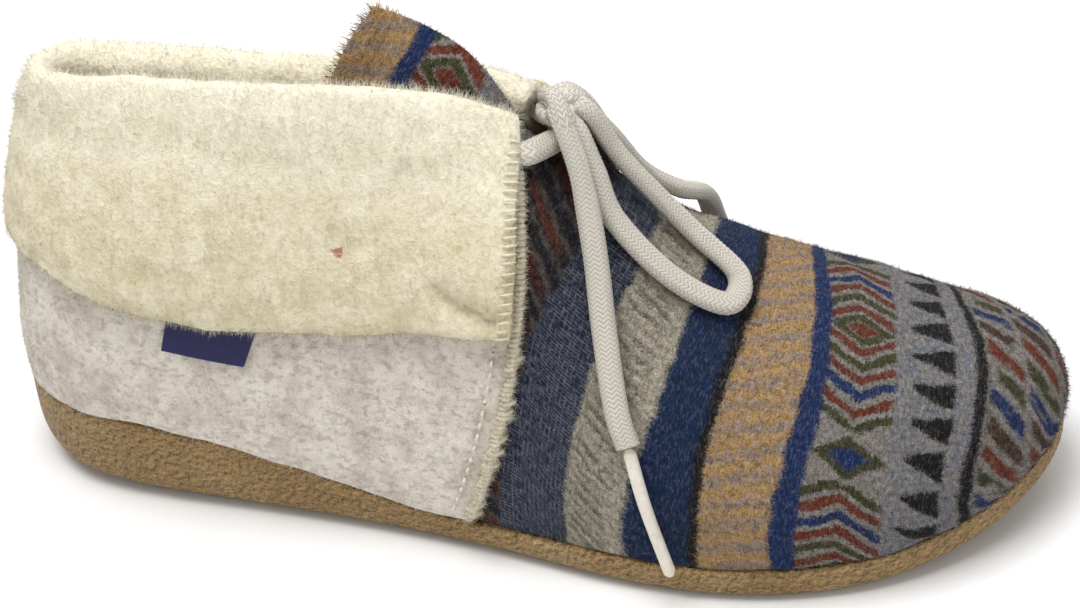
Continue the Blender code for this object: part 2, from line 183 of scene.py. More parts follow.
class Graph:
    """A material's node tree with one Principled shader."""

    def __init__(self, name: str, **shader: float | Sequence[float]) -> None:
        """Starts a material.

        Args:
            name: the material's name.
            shader: constant values of the shader's own sockets, with spaces as underscores.
        """
        self.material = bpy.data.materials.new(name)
        self.material.use_nodes = True
        self.tree = self.material.node_tree
        self.tree.nodes.clear()
        self.shader = self.node("ShaderNodeBsdfPrincipled")
        for key, value in shader.items():
            self.shader.inputs[key.replace("_", " ")].default_value = value
        output = self.node("ShaderNodeOutputMaterial")
        self.tree.links.new(self.shader.outputs[0], output.inputs[0])

    def node(
        self,
        kind: str,
        settings: dict[str, object] | None = None,
        sockets: dict[str | int, Feed] | None = None,
    ) -> bpy.types.Node:
        """Makes one node.

        Args:
            kind: the node's type.
            settings: its settings, where stops fill a colour ramp as (position, colour).
            sockets: values or links of its inputs, by name or number.

        Returns:
            The node.
        """
        made = self.tree.nodes.new(kind)
        for name, value in (settings or {}).items():
            if name == "stops":
                self.fill(made.color_ramp, value)
            elif name == "steps":
                made.color_ramp.interpolation = value
            else:
                setattr(made, name, value)
        for key, value in (sockets or {}).items():
            self.feed(made.inputs[key], value)
        return made

    def fill(self, ramp: bpy.types.ColorRamp, stops: Sequence[tuple[float, Colour]]) -> None:
        """Puts the stops into a colour ramp."""
        while len(ramp.elements) < len(stops):
            ramp.elements.new(1.0)
        for element, (position, colour) in zip(ramp.elements, stops):
            element.position = position
            element.color = colour

    def feed(self, socket: bpy.types.NodeSocket, value: Feed) -> None:
        """Links a value or socket to an input, or sets the input's own value."""
        if isinstance(value, Value):
            self.tree.links.new(value.socket, socket)
        elif isinstance(value, bpy.types.NodeSocket):
            self.tree.links.new(value, socket)
        else:
            socket.default_value = value

    def maths(self, operation: str, *operands: Value | float, clamp: bool = False) -> Value:
        """One Math node.

        Args:
            operation: its operation.
            operands: its inputs in order.
            clamp: whether the result is held between 0 and 1.

        Returns:
            The node's result.
        """
        made = self.node(
            "ShaderNodeMath",
            {"operation": operation, "use_clamp": clamp},
            dict(enumerate(operands)),
        )
        return Value(self, made.outputs[0])

    def place(self) -> bpy.types.NodeSocket:
        """Object coordinates, in metres."""
        return self.node("ShaderNodeTexCoord").outputs["Object"]

    def weave(self) -> tuple[Value, Value, bpy.types.NodeSocket]:
        """The cloth's own flat coordinates in millimetres: along, across and both as a vector."""
        raw = self.node("ShaderNodeUVMap", {"uv_map": "weave"}).outputs[0]
        flat = self.node(
            "ShaderNodeVectorMath", {"operation": "SCALE"}, {0: raw, "Scale": WEAVE_SCALE}
        ).outputs[0]
        parts = self.node("ShaderNodeSeparateXYZ", None, {0: flat})
        return Value(self, parts.outputs[0]), Value(self, parts.outputs[1]), flat

    def noise(
        self, where: Feed, scale: float, detail: float = 2.0, rough: float = 0.5
    ) -> tuple[Value, bpy.types.NodeSocket]:
        """A noise texture.

        Args:
            where: the coordinates.
            scale: cells per unit of them.
            detail: octaves.
            rough: how much the finer octaves weigh.

        Returns:
            Its number and its colour.
        """
        made = self.node(
            "ShaderNodeTexNoise",
            None,
            {"Vector": where, "Scale": scale, "Detail": detail, "Roughness": rough},
        )
        return Value(self, made.outputs[0]), made.outputs[1]

    def stretched(self, where: Feed, scale: Sequence[float], turn: float = 0.0) -> Feed:
        """Coordinates scaled along each axis, and turned about the third."""
        return self.node(
            "ShaderNodeMapping", None, {"Vector": where, "Scale": scale, "Rotation": (0, 0, turn)}
        ).outputs[0]

    def cells(self, where: Feed, scale: float, smooth: float = 0.0) -> Value:
        """Distance to the nearest cell's centre in a Voronoi texture."""
        feature = "SMOOTH_F1" if smooth else "F1"
        made = self.node(
            "ShaderNodeTexVoronoi", {"feature": feature}, {"Vector": where, "Scale": scale}
        )
        if smooth:
            made.inputs["Smoothness"].default_value = smooth
        return Value(self, made.outputs["Distance"])

    def mix(self, share: Value | float, first: Feed, second: Feed) -> bpy.types.NodeSocket:
        """The first colour where share is 0, the second where it is 1."""
        return self.node(
            "ShaderNodeMix", {"data_type": "RGBA"}, {0: share, 6: first, 7: second}
        ).outputs[2]

    def tinted(self, colour: Feed, amount: Value) -> bpy.types.NodeSocket:
        """The colour made lighter or darker by an amount near 1."""
        return self.node(
            "ShaderNodeVectorMath", {"operation": "SCALE"}, {0: colour, "Scale": amount}
        ).outputs[0]

    def ramp(
        self, share: Value, stops: Sequence[tuple[float, Colour]], steps: str = "LINEAR"
    ) -> bpy.types.NodeSocket:
        """A colour ramp."""
        return self.node(
            "ShaderNodeValToRGB", {"stops": stops, "steps": steps}, {0: share}
        ).outputs[0]

    def finish(self, colour: Feed, height: Value, depth: float, rough: Feed) -> None:
        """Feeds the shader.

        Args:
            colour: base colour.
            height: relief, 0 to 1.
            depth: how far the relief stands, in metres.
            rough: roughness.
        """
        relief = self.node("ShaderNodeBump", None, {"Height": height})
        relief.inputs["Strength"].default_value = 1.0
        relief.inputs["Distance"].default_value = depth
        self.feed(self.shader.inputs["Base Color"], colour)
        self.feed(self.shader.inputs["Roughness"], rough)
        self.feed(self.shader.inputs["Normal"], relief.outputs[0])


# Finishes


@dataclass(frozen=True)
class PatternedWool:
    """Brushed wool cloth woven in bands, charted along and across in millimetres."""

    charcoal: Colour = srgb(30, 29, 34)
    rust: Colour = srgb(112, 54, 36)
    navy: Colour = srgb(30, 40, 64)
    dash: Colour = srgb(140, 146, 158)
    hair: Colour = srgb(176, 168, 158)
    pale: Colour = srgb(176, 168, 150)
    smoke: Colour = srgb(106, 96, 86)
    royal: Colour = srgb(20, 44, 80)
    mustard: Colour = srgb(196, 154, 88)
    lilac: Colour = srgb(146, 134, 130)
    blue: Colour = srgb(28, 50, 96)
    ash: Colour = srgb(142, 136, 130)
    olive: Colour = srgb(68, 68, 40)
    heather: Colour = srgb(126, 128, 138)
    black: Colour = srgb(20, 19, 22)
    brown: Colour = srgb(74, 52, 42)
    chevron_middle: float = 86.0
    stripe: float = 2.4
    diamond: float = 33.4
    first_diamond: float = 6.1
    slant: float = 0.62
    toe_start: float = 114.6
    toe_file: float = 9.5

    def chevrons(self, graph: Graph, along: Value, across: Value) -> bpy.types.NodeSocket:
        """Nested chevrons that meet in diamonds.

        Args:
            graph: the material's graph.
            along: place along the shoe.
            across: place across the band.

        Returns:
            The band's colour.
        """
        arm = (along - self.chevron_middle).magnitude() * self.slant
        run = (across - self.first_diamond).maths("PINGPONG", self.diamond) + arm
        reach = self.diamond + 7.6 * self.slant
        stripes = (
            (0.0, self.rust), (2.8, self.olive), (6.2, self.rust), (10.2, self.olive),
            (14.0, self.rust), (18.0, self.blue), (22.2, self.rust), (26.2, self.olive),
        )
        stops: list[tuple[float, Colour]] = []
        for start, colour in stripes:
            stops.append((start / reach, colour))
            stops.append(((start + self.stripe) / reach, self.ash))
        nested = graph.ramp(run / reach, stops, "CONSTANT")
        core = across.near(self.first_diamond + self.diamond, self.diamond * 2) + arm
        nested = graph.mix(core.below(6.6, 0.6), nested, self.ash)
        nested = graph.mix(core.below(5.0, 0.6), nested, self.olive)
        return graph.mix(core.below(3.0, 0.6), nested, self.blue)

    def throat(self, graph: Graph, along: Value, across: Value, patch: Value) -> Feed:
        """Charcoal cloth with slanting grey and rust strokes.

        Args:
            graph: the material's graph.
            along: place along the shoe.
            across: place across the band.
            patch: a broad unevenness, 0 to 1.

        Returns:
            The band's colour.
        """
        run = across - (along - 15.0) * 0.9
        grey = run.near(1.5, 6.4).below(1.1, 1.3) * patch.above(0.42, 0.2)
        rust = run.near(4.4, 12.8).below(1.7, 1.4) * along.within(11.5, 20.5, 2.0)
        rust = rust * patch.above(0.44, 0.14)
        colour = graph.mix(patch.above(0.55, 0.2) * 0.5, self.charcoal, self.navy)
        colour = graph.mix(grey * 0.75, colour, self.smoke)
        return graph.mix(rust * 0.8, colour, self.rust)

    def toe(self, graph: Graph, along: Value, across: Value) -> bpy.types.NodeSocket:
        """Slanting strokes in four colours on grey."""
        file = ((along - self.toe_start) / self.toe_file).maths("FLOOR")
        run = across - (along - self.toe_start) * 0.75 + file * 10.2
        broken, _ = graph.noise(graph.weave()[2], 0.16, 1.0)
        gap = along.near(self.toe_start, self.toe_file).above(0.7, 0.8)
        stroke = run.near(3.0, 6.8).below(2.2, 1.1) * broken.above(0.36, 0.1) * gap
        kind = (run + 0.4) / 27.2
        turn = kind - kind.maths("FLOOR")
        colour = graph.ramp(
            turn,
            [(0.0, self.rust), (0.25, self.olive), (0.5, self.blue), (0.75, self.brown)],
            "CONSTANT",
        )
        return graph.mix(stroke, self.ash, colour)

    def make(self) -> bpy.types.Material:
        """Builds the material.

        Returns:
            The material.
        """
        graph = Graph("patterned_wool", Sheen_Weight=0.03, Sheen_Roughness=0.6, Specular_IOR_Level=0.1)
        u, v, flat = graph.weave()
        _, drift = graph.noise(flat, 0.13, 1.0)
        _, stray = graph.noise(flat, 1.5, 2.0, 0.7)
        shift = graph.node("ShaderNodeSeparateColor", None, {0: drift}).outputs
        fray = graph.node("ShaderNodeSeparateColor", None, {0: stray}).outputs
        along, down = u, v
        u = u + (Value(graph, shift[0]) - 0.5) * 2.2 + (Value(graph, fray[0]) - 0.5) * 2.6
        v = v + (Value(graph, shift[1]) - 0.5) * 3.0 + (Value(graph, fray[1]) - 0.5) * 2.6
        soft = 0.9
        patch, _ = graph.noise(graph.stretched(flat, (0.55, 0.3, 1.0)), 1.0, 3.0, 0.6)
        fibre, _ = graph.noise(flat, 2.4, 4.0, 0.75)
        tuft, _ = graph.noise(flat, 0.8, 4.0, 0.7)
        speck, _ = graph.noise(flat, 5.5, 1.0)
        rising, _ = graph.noise(graph.stretched(flat, (2.4, 0.55, 1.0), 0.6), 1.0, 2.0, 0.6)
        falling, _ = graph.noise(graph.stretched(flat, (2.4, 0.55, 1.0), -0.7), 1.0, 2.0, 0.6)

        colour = self.throat(graph, u, v, patch)
        # Open denim-blue weave with light dashes
        row = down.near(0.0, 0.95).below(0.2, 0.25)
        post = along.near(0.0, 1.2).below(0.2, 0.3)
        dash, _ = graph.noise(graph.stretched(flat, (0.35, 1.3, 1.0)), 1.0, 1.0)
        stem, _ = graph.noise(graph.stretched(flat, (1.3, 0.35, 1.0)), 1.0, 1.0)
        threads = (row * dash.above(0.46, 0.16)).maths("MAXIMUM", post * stem.above(0.5, 0.16))
        denim = graph.mix(threads * 0.55, self.navy, self.dash)
        edge = 25.0 - v * 0.085
        colour = graph.mix(u.above(edge, soft), colour, denim)
        # Pale band with slanting smoke-grey strokes on its rear part
        lean = v - (u - 40.8) * 0.45 + (tuft - 0.5) * 3.0
        sweep = lean.near(9.8, 3.3).below(0.75, 0.9) * u.within(36.0, 44.6, 1.6)
        sweep = sweep * (lean.near(9.8, 10.9).below(4.2, 2.0) * 0.6 + 0.4)
        pale = graph.mix(sweep * patch.above(0.4, 0.2) * 0.85, self.pale, self.smoke)
        colour = graph.mix(u.above(35.2, soft), colour, pale)
        # Royal blue with a black border
        colour = graph.mix(u.above(47.2, soft), colour, self.royal)
        colour = graph.mix(u.above(57.4, soft), colour, self.black)
        # Mustard strokes on lilac grey
        stray_v = v + (u - 63.0) * 0.5 + (tuft - 0.5) * 7.0
        brush = stray_v.near(1.6, 6.1).below(1.6, 1.8)
        brush = (brush * 0.6 + patch.above(0.5, 0.25) * 0.6).maths("MINIMUM", 0.9)
        brush = brush * (1 - tuft.above(0.56, 0.12) * 0.6)
        sand = graph.mix(brush, self.lilac, self.mustard)
        colour = graph.mix(u.above(59.7, soft), colour, sand)
        colour = graph.mix(u.above(74.0, soft), colour, self.blue)
        # Chevrons and diamonds
        chevrons = self.chevrons(graph, u, v)
        colour = graph.mix(u.above(78.5, soft), colour, chevrons)
        # Wedges on heather blue
        wedge = v.near(1.6, 8.9).below((u - 96.4) * 0.33, 0.7) * u.within(98.2, 107.6, 0.7)
        heather = graph.mix(patch.above(0.5, 0.2), self.heather, self.ash)
        colour = graph.mix(u.above(94.2, soft), colour, graph.mix(wedge, heather, self.black))
        colour = graph.mix(u.above(112.2, soft), colour, self.black)
        colour = graph.mix(u.above(114.6, soft), colour, self.toe(graph, u, v))

        hairs = rising.above(0.6, 0.12).maths("MAXIMUM", falling.above(0.6, 0.12))
        shade = rising.below(0.42, 0.14).maths("MAXIMUM", falling.below(0.4, 0.14))
        colour = graph.mix(hairs * 0.15, colour, self.hair)
        colour = graph.mix(shade * 0.4, colour, self.charcoal)
        light = (fibre * 2.1 + tuft * 2.6 + speck * 1.9 - 2.36).maths("MAXIMUM", 0.22)
        colour = graph.tinted(colour, light)
        height = fibre * 0.4 + tuft * 0.3 + rising * 0.15 + falling * 0.15
        graph.finish(colour, height, 1.3 * MM, fibre * 0.15 + 0.82)
        return graph.material


@dataclass(frozen=True)
class MottledFelt:
    """Off-white felt with soft grey flecks."""

    base: Colour = srgb(224, 214, 200)
    fleck: Colour = srgb(160, 150, 140)
    light: Colour = srgb(238, 230, 218)

    def make(self) -> bpy.types.Material:
        """Builds the material.

        Returns:
            The material.
        """
        graph = Graph("mottled_felt", Sheen_Weight=0.12, Sheen_Roughness=0.6, Specular_IOR_Level=0.2)
        where = graph.place()
        fleck, _ = graph.noise(graph.stretched(where, (420.0, 420.0, 620.0), 0.4), 1.0, 4.0, 0.7)
        cloud, _ = graph.noise(where, 110.0, 3.0, 0.6)
        fibre, _ = graph.noise(where, 2000.0, 4.0, 0.75)
        colour = graph.mix(cloud.above(0.5, 0.25), self.base, self.light)
        colour = graph.mix(fleck.above(0.56, 0.14) * 0.5, colour, self.fleck)
        colour = graph.mix(cloud.below(0.42, 0.2) * 0.22, colour, self.fleck)
        colour = graph.tinted(colour, fibre * 0.7 + 0.66)
        graph.finish(colour, fibre * 0.5 + fleck * 0.5, 0.7 * MM, fibre * 0.1 + 0.85)
        return graph.material


@dataclass(frozen=True)
class MattedFleece:
    """Cream fleece, matted in small clumps, with light painted on its top and shade painted low down.
    """

    base: Colour = srgb(220, 210, 178)
    light: Colour = srgb(236, 229, 206)
    # Deeper cream of the matted curls, also used for the shade painted low on the cuff.
    deep: Colour = srgb(188, 174, 136)
    # Painted light: the lighter cream mixed into the cuff's top, as if lit from above.
    painted_top_light: Colour = srgb(244, 240, 224)
    speck: Colour = srgb(150, 62, 48)
    speck_place: Row = (-34.2, -30.0, 79.0)
    depth: float = 1.1 * MM

    def make(self) -> bpy.types.Material:
        """Builds the material.

        Returns:
            The material.
        """
        graph = Graph("matted_fleece", Sheen_Weight=0.15, Sheen_Roughness=0.5, Specular_IOR_Level=0.2)
        where = graph.place()
        clump, _ = graph.noise(where, 150.0, 3.0, 0.6)
        curl, _ = graph.noise(where, 620.0, 3.0, 0.7)
        fibre, _ = graph.noise(where, 3000.0, 2.0, 0.7)
        colour = graph.mix(clump.above(0.52, 0.4), self.base, self.light)
        colour = graph.mix(curl.below(0.42, 0.25) * 0.4, colour, self.deep)
        rise = Value(graph, graph.node("ShaderNodeSeparateXYZ", None, {0: where}).outputs[2])
        # Painted shade: below 7.8 cm the cuff is mixed towards the deep cream, darker towards the
        # bottom as if lit from above; the clump noise breaks it up.
        wear_and_low_shade = rise.below(0.078, 0.05) * clump.below(0.6, 0.4)
        colour = graph.mix(wear_and_low_shade * 0.4, colour, self.deep)
        # Painted light: above 10 cm the cuff is mixed towards a lighter cream, as if lit from above.
        colour = graph.mix(rise.above(0.1, 0.03) * 0.75, colour, self.painted_top_light)
        spot = Vector(self.speck_place) * MM
        away = graph.node(
            "ShaderNodeVectorMath", {"operation": "DISTANCE"}, {0: where, 1: spot}
        ).outputs["Value"]
        ragged = Value(graph, away) + (curl - 0.5) * (6.0 * MM)
        colour = graph.mix(ragged.below(0.9 * MM, 0.6 * MM) * 0.75, colour, self.speck)
        colour = graph.tinted(colour, fibre * 0.3 + 0.88)
        graph.finish(colour, clump * 0.4 + curl * 0.6, self.depth, fibre * 0.1 + 0.85)
        return graph.material


@dataclass(frozen=True)
class PebbledRubber:
    """Tan sole rubber with a fine pebbled grain, with light and shade painted on the grain as if lit
    from above.
    """

    base: Colour = srgb(150, 120, 76)
    wear_and_low_shade: Colour = srgb(164, 135, 92)
    deep: Colour = srgb(112, 88, 54)
    grain: float = 640.0
    # Strength of the light and shade painted on the grain.
    painted_relief_shading: float = 3.2

    def make(self) -> bpy.types.Material:
        """Builds the material.

        Returns:
            The material.
        """
        graph = Graph("pebbled_rubber", Specular_IOR_Level=0.35)
        where = graph.place()
        _, bend = graph.noise(where, 500.0, 2.0)
        bent = graph.node(
            "ShaderNodeVectorMath", {"operation": "MULTIPLY_ADD"}, {0: bend, 1: (0.0012,) * 3, 2: where}
        ).outputs[0]
        pebble = graph.cells(bent, 1000.0, 0.25)
        cloud, _ = graph.noise(where, 60.0, 3.0)
        grain, _ = graph.noise(bent, self.grain, 2.0, 0.5)
        # Painted light and shade: the grain sampled 0.4 mm higher is subtracted from the grain, so each
        # pebble's upper side is painted lighter and its lower side darker.
        over = graph.node(
            "ShaderNodeVectorMath", {"operation": "ADD"}, {0: bent, 1: (-0.0002, 0.0, 0.0004)}
        ).outputs[0]
        above, _ = graph.noise(over, self.grain, 2.0, 0.5)
        fine, _ = graph.noise(where, 2400.0, 2.0)
        colour = graph.mix(cloud.above(0.52, 0.3), self.base, self.wear_and_low_shade)
        colour = graph.mix(grain.below(0.42, 0.12) * 0.15, colour, self.deep)
        colour = graph.tinted(colour, fine * 0.3 + (grain - above) * self.painted_relief_shading + 0.85)
        height = (1 - pebble) * 0.35 + grain * 1.2 + fine * 0.2
        graph.finish(colour, height, 2.2 * MM, grain * 0.3 + 0.42)
        return graph.material


@dataclass(frozen=True)
class BraidedCotton:
    """Off-white braid with herringbone plaits, along and around the lace, with shade painted in the
    plaits' grooves.
    """

    base: Colour = srgb(240, 233, 220)
    # Painted shade: the darker colour put in the grooves between the plaits.
    groove_shade: Colour = srgb(164, 153, 136)
    stitch: float = 1.1
    columns: float = 16.0

    def make(self) -> bpy.types.Material:
        """Builds the material.

        Returns:
            The material.
        """
        graph = Graph("braided_cotton", Sheen_Weight=0.2, Sheen_Roughness=0.5)
        along, around, flat = graph.weave()
        column = around * (self.columns / WEAVE_SCALE)
        side = column.maths("PINGPONG", 1.0)
        ply = (along / self.stitch + side * 0.9).wave(1.0)
        strand = (along / self.stitch + side * 0.9).wave(0.34)
        fibre, _ = graph.noise(flat, 6.0, 2.0)
        # Painted shade: the low parts of the plait wave are darkened towards the groove colour.
        colour = graph.mix(ply.below(0.3, 0.5) * 0.55, self.base, self.groove_shade)
        colour = graph.tinted(colour, fibre * 0.2 + 0.92)
        graph.finish(colour, ply * 0.65 + strand * 0.35, 0.5 * MM, fibre * 0.1 + 0.75)
        return graph.material


@dataclass(frozen=True)
class PlainFinish:
    """A smooth or yarn-like finish in one hue with a fine grain."""

    name: str
    base: Colour
    shade: Colour
    scale: float
    relief: float
    rough: float
    sheen: float = 0.0
    stretch: Row = (1.0, 1.0, 1.0)

    def make(self) -> bpy.types.Material:
        """Builds the material.

        Returns:
            The material.
        """
        graph = Graph(self.name, Sheen_Weight=self.sheen, Sheen_Roughness=0.5)
        where = graph.stretched(graph.place(), self.stretch)
        grain, _ = graph.noise(where, self.scale, 3.0, 0.6)
        cloud, _ = graph.noise(graph.place(), self.scale / 9, 2.0)
        colour = graph.mix((grain * 0.6 + cloud * 0.4).above(0.5, 0.35), self.shade, self.base)
        graph.finish(colour, grain, self.relief, grain * 0.12 + self.rough)
        return graph.material


class Finishes:
    """Every finish of the slipper, made once."""

    def __init__(self) -> None:
        """Makes the materials."""
        self.wool = PatternedWool().make()
        self.felt = MottledFelt().make()
        self.fleece = MattedFleece().make()
        self.rubber = PebbledRubber().make()
        self.braid = BraidedCotton().make()
        yarn = srgb(244, 237, 216)
        self.yarn = PlainFinish(
            "overlock_yarn", yarn, srgb(224, 214, 190), 2600.0, 0.3 * MM, 0.85, 0.1
        ).make()
        self.sleeve = PlainFinish(
            "lace_sleeve", srgb(234, 228, 216), srgb(214, 206, 190), 700.0, 0.05 * MM, 0.42
        ).make()
        self.ribbon = PlainFinish(
            "navy_ribbon", srgb(16, 18, 84), srgb(10, 12, 58), 1800.0, 0.12 * MM, 0.6,
            0.05, (1.0, 1.0, 0.15),
        ).make()
        self.paper = PlainFinish(
            "pale_floor", srgb(250, 250, 250), srgb(246, 246, 246), 40.0, 0.02 * MM, 0.8
        ).make()


# Shapes


def catmull_rom(points: Sequence[Vector], spacing: float) -> list[Vector]:
    """A smooth curve through points.

    Args:
        points: the points in order.
        spacing: about the distance between samples.

    Returns:
        The samples, with both ends.
    """
    ends = [points[0] * 2 - points[1], *points, points[-1] * 2 - points[-2]]
    found: list[Vector] = []
    for a, b, c, d in zip(ends, ends[1:], ends[2:], ends[3:]):
        count = max(2, round((c - b).length / spacing))
        for step in range(count):
            t = step / count
            found.append(
                0.5 * (2 * b + (c - a) * t + (2 * a - 5 * b + 4 * c - d) * t * t)
                + 0.5 * (3 * b - a - 3 * c + d) * t**3
            )
    return [*found, points[-1].copy()]


def run_of(points: Sequence[Vector]) -> list[float]:
    """How far along the line each point lies."""
    total = [0.0]
    for a, b in zip(points, points[1:]):
        total.append(total[-1] + (b - a).length)
    return total


def shape_of(node: str) -> bmesh.types.BMesh:
    """A CAD node's surface with its points merged.

    Args:
        node: the node's name.

    Returns:
        A new bmesh.
    """
    shape = bmesh.new()
    shape.from_mesh(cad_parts[node].data)
    bmesh.ops.remove_doubles(shape, verts=shape.verts, dist=0.01 * MM)
    return shape


def tree_of(*nodes: str) -> BVHTree:
    """A search tree over CAD nodes' surfaces."""
    points: list[Vector] = []
    faces: list[list[int]] = []
    for node in nodes:
        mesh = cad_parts[node].data
        start = len(points)
        points += [v.co.copy() for v in mesh.vertices]
        faces += [[start + i for i in p.vertices] for p in mesh.polygons]
    return BVHTree.FromPolygons(points, faces)


def piece(
    name: str, mesh: bpy.types.Mesh, finishes: Sequence[bpy.types.Material]
) -> bpy.types.Object:
    """Makes a mesh a piece of the slipper.

    Args:
        name: the piece's name.
        mesh: its mesh.
        finishes: its materials in order.

    Returns:
        The object, riding on the one body.
    """
    mesh.name = name
    mesh.materials.clear()
    for material in finishes:
        mesh.materials.append(material)
    made = bpy.data.objects.new(name, mesh)
    bpy.context.scene.collection.objects.link(made)
    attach(made, BODY)
    return made


def mesh_of(shape: bmesh.types.BMesh, smooth: bool = True) -> bpy.types.Mesh:
    """A mesh from a bmesh, which is freed."""
    for face in shape.faces:
        face.smooth = smooth
    mesh = bpy.data.meshes.new("shape")
    shape.to_mesh(mesh)
    shape.free()
    return mesh


def subdivided(shape: bmesh.types.BMesh, levels: int, sharp: float, crease: float) -> bpy.types.Mesh:
    """A shape smoothed by Subdivision Surface, with its sharp edges held.

    Args:
        shape: the shape, which is freed.
        levels: subdivision levels.
        sharp: edges that turn more than this are held, in degrees.
        crease: how strongly, 0 to 1.

    Returns:
        The smoothed mesh.
    """
    bmesh.ops.join_triangles(
        shape,
        faces=shape.faces,
        angle_face_threshold=math.radians(35),
        angle_shape_threshold=math.radians(70),
    )
    layer = shape.edges.layers.float.new("crease_edge")
    for edge in shape.edges:
        if len(edge.link_faces) == 2 and edge.calc_face_angle(0.0) > math.radians(sharp):
            edge[layer] = crease
    mesh = mesh_of(shape)
    holder = bpy.data.objects.new("holder", mesh)
    bpy.context.scene.collection.objects.link(holder)
    modifier = holder.modifiers.new("smooth", "SUBSURF")
    modifier.levels = levels
    modifier.render_levels = levels
    graph = bpy.context.evaluated_depsgraph_get()
    made = bpy.data.meshes.new_from_object(holder.evaluated_get(graph))
    bpy.data.objects.remove(holder)
    bpy.data.meshes.remove(mesh)
    return made


@dataclass(frozen=True)
class Crease:
    """A soft trough (depth above 0) or ridge (below 0) along a line of points in millimetres."""

    line: tuple[Row, ...]
    width: float
    depth: float

    def lift(self, point: Vector) -> float:
        """How far a point moves along its normal, in metres."""
        nearest = min(
            self.distance(point, Vector(a) * MM, Vector(b) * MM)
            for a, b in zip(self.line, self.line[1:])
        )
        return -self.depth * MM * math.exp(-((nearest / (self.width * MM)) ** 2))

    def distance(self, point: Vector, start: Vector, end: Vector) -> float:
        """Distance from a point to the stretch from start to end."""
        run = end - start
        share = max(0.0, min(1.0, (point - start).dot(run) / run.length_squared))
        return (point - start - run * share).length


@dataclass(frozen=True)
class Lumps:
    """Soft unevenness: clump size and height in millimetres, with a finer one on it."""

    size: float
    height: float
    fine_size: float = 1.0
    fine_height: float = 0.0

    def lift(self, point: Vector) -> float:
        """How far a point moves along its normal, in metres."""
        broad = noise.noise(point / (self.size * MM)) * self.height
        fine = noise.noise(point / (self.fine_size * MM)) * self.fine_height
        return (broad + fine) * MM


def relieve(mesh: bpy.types.Mesh, forms: Sequence[Crease | Lumps]) -> None:
    """Moves a mesh's points along their normals by every form."""
    normals = [v.normal.copy() for v in mesh.vertices]
    for vertex, normal in zip(mesh.vertices, normals):
        vertex.co += normal * sum(form.lift(vertex.co) for form in forms)
    mesh.update()


@dataclass(frozen=True)
class Pile:
    """How a nap's fibres stand. Lengths in millimetres, lean from 0, upright, to 1, flat."""

    count: int
    shortest: float
    longest: float
    width: float
    lean: float
    curl: float
    seed: int
    flow: Row = (0.0, 0.0, 0.0)

    def grow(
        self, name: str, ground: bpy.types.Mesh, keep: Callable[[np.ndarray, np.ndarray], np.ndarray]
    ) -> bpy.types.Mesh:
        """Scatters bent fibres over a surface.

        Args:
            name: the mesh's name.
            ground: the surface, whose weave map the fibres take over.
            keep: which roots stay, from their places and normals.

        Returns:
            The fibres' mesh.
        """
        dice = np.random.default_rng(self.seed)
        ground.calc_loop_triangles()
        count = len(ground.loop_triangles)
        corners = np.empty(count * 3, np.int32)
        loops = np.empty(count * 3, np.int32)
        areas = np.empty(count, np.float32)
        ground.loop_triangles.foreach_get("vertices", corners)
        ground.loop_triangles.foreach_get("loops", loops)
        ground.loop_triangles.foreach_get("area", areas)
        places = np.empty(len(ground.vertices) * 3, np.float32)
        leans = np.empty(len(ground.vertices) * 3, np.float32)
        ground.vertices.foreach_get("co", places)
        ground.vertices.foreach_get("normal", leans)
        places = places.reshape(-1, 3)[corners.reshape(-1, 3)]
        leans = leans.reshape(-1, 3)[corners.reshape(-1, 3)]
        charts = np.zeros((count, 3, 2), np.float32)
        if "weave" in ground.uv_layers:
            chart = np.empty(len(ground.loops) * 2, np.float32)
            ground.uv_layers["weave"].data.foreach_get("uv", chart)
            charts = chart.reshape(-1, 2)[loops.reshape(-1, 3)]
        middle = places.mean(axis=1)
        face = leans.mean(axis=1)
        weight = areas * keep(middle, face)
        picked = dice.choice(count, self.count, p=weight / weight.sum())
        share = dice.dirichlet((1.0, 1.0, 1.0), self.count)[:, :, None]
        root = (places[picked] * share).sum(axis=1)
        up = self.unit((leans[picked] * share).sum(axis=1))
        chart = (charts[picked] * share).sum(axis=1)
        sideways = self.unit(np.cross(up, dice.normal(size=(self.count, 3))))
        sideways = self.unit(sideways + np.array(self.flow))
        lean = self.lean * dice.uniform(0.6, 1.3, (self.count, 1))
        rise = self.unit(up * (1 - lean).clip(0.05) + sideways * lean)
        bend = self.unit(rise + self.curl * dice.normal(size=(self.count, 3)) + up * 0.1)
        length = dice.uniform(self.shortest, self.longest, (self.count, 1)) * MM
        blade = np.cross(rise, up) + 0.15 * dice.normal(size=(self.count, 3))
        blade = self.unit(blade - rise * (blade * rise).sum(axis=1, keepdims=True))
        half = blade * (self.width * MM / 2)
        foot = root - up * (0.25 * MM)
        knee = root + rise * length / 2
        tip = knee + bend * length / 2
        points = np.stack([foot - half, foot + half, knee + half * 0.8, knee - half * 0.8, tip], 1)
        start = np.arange(self.count)[:, None] * 5
        quads = (start + np.array([0, 1, 2, 3])).tolist()
        tips = (start + np.array([3, 2, 4])).tolist()
        mesh = bpy.data.meshes.new(name)
        mesh.from_pydata(points.reshape(-1, 3).tolist(), [], quads + tips)
        order = np.concatenate([np.repeat(chart, 4, 0), np.repeat(chart, 3, 0)])
        layer = mesh.uv_layers.new(name="weave")
        layer.data.foreach_set("uv", order.astype(np.float32).ravel())
        for polygon in mesh.polygons:
            polygon.use_smooth = True
        facing = np.concatenate([np.repeat(up, 4, 0), np.repeat(up, 3, 0)])
        mesh.normals_split_custom_set(facing.tolist())
        return mesh

    def unit(self, rows: np.ndarray) -> np.ndarray:
        """Rows scaled to length 1."""
        return rows / np.maximum(np.linalg.norm(rows, axis=1, keepdims=True), 1e-9)


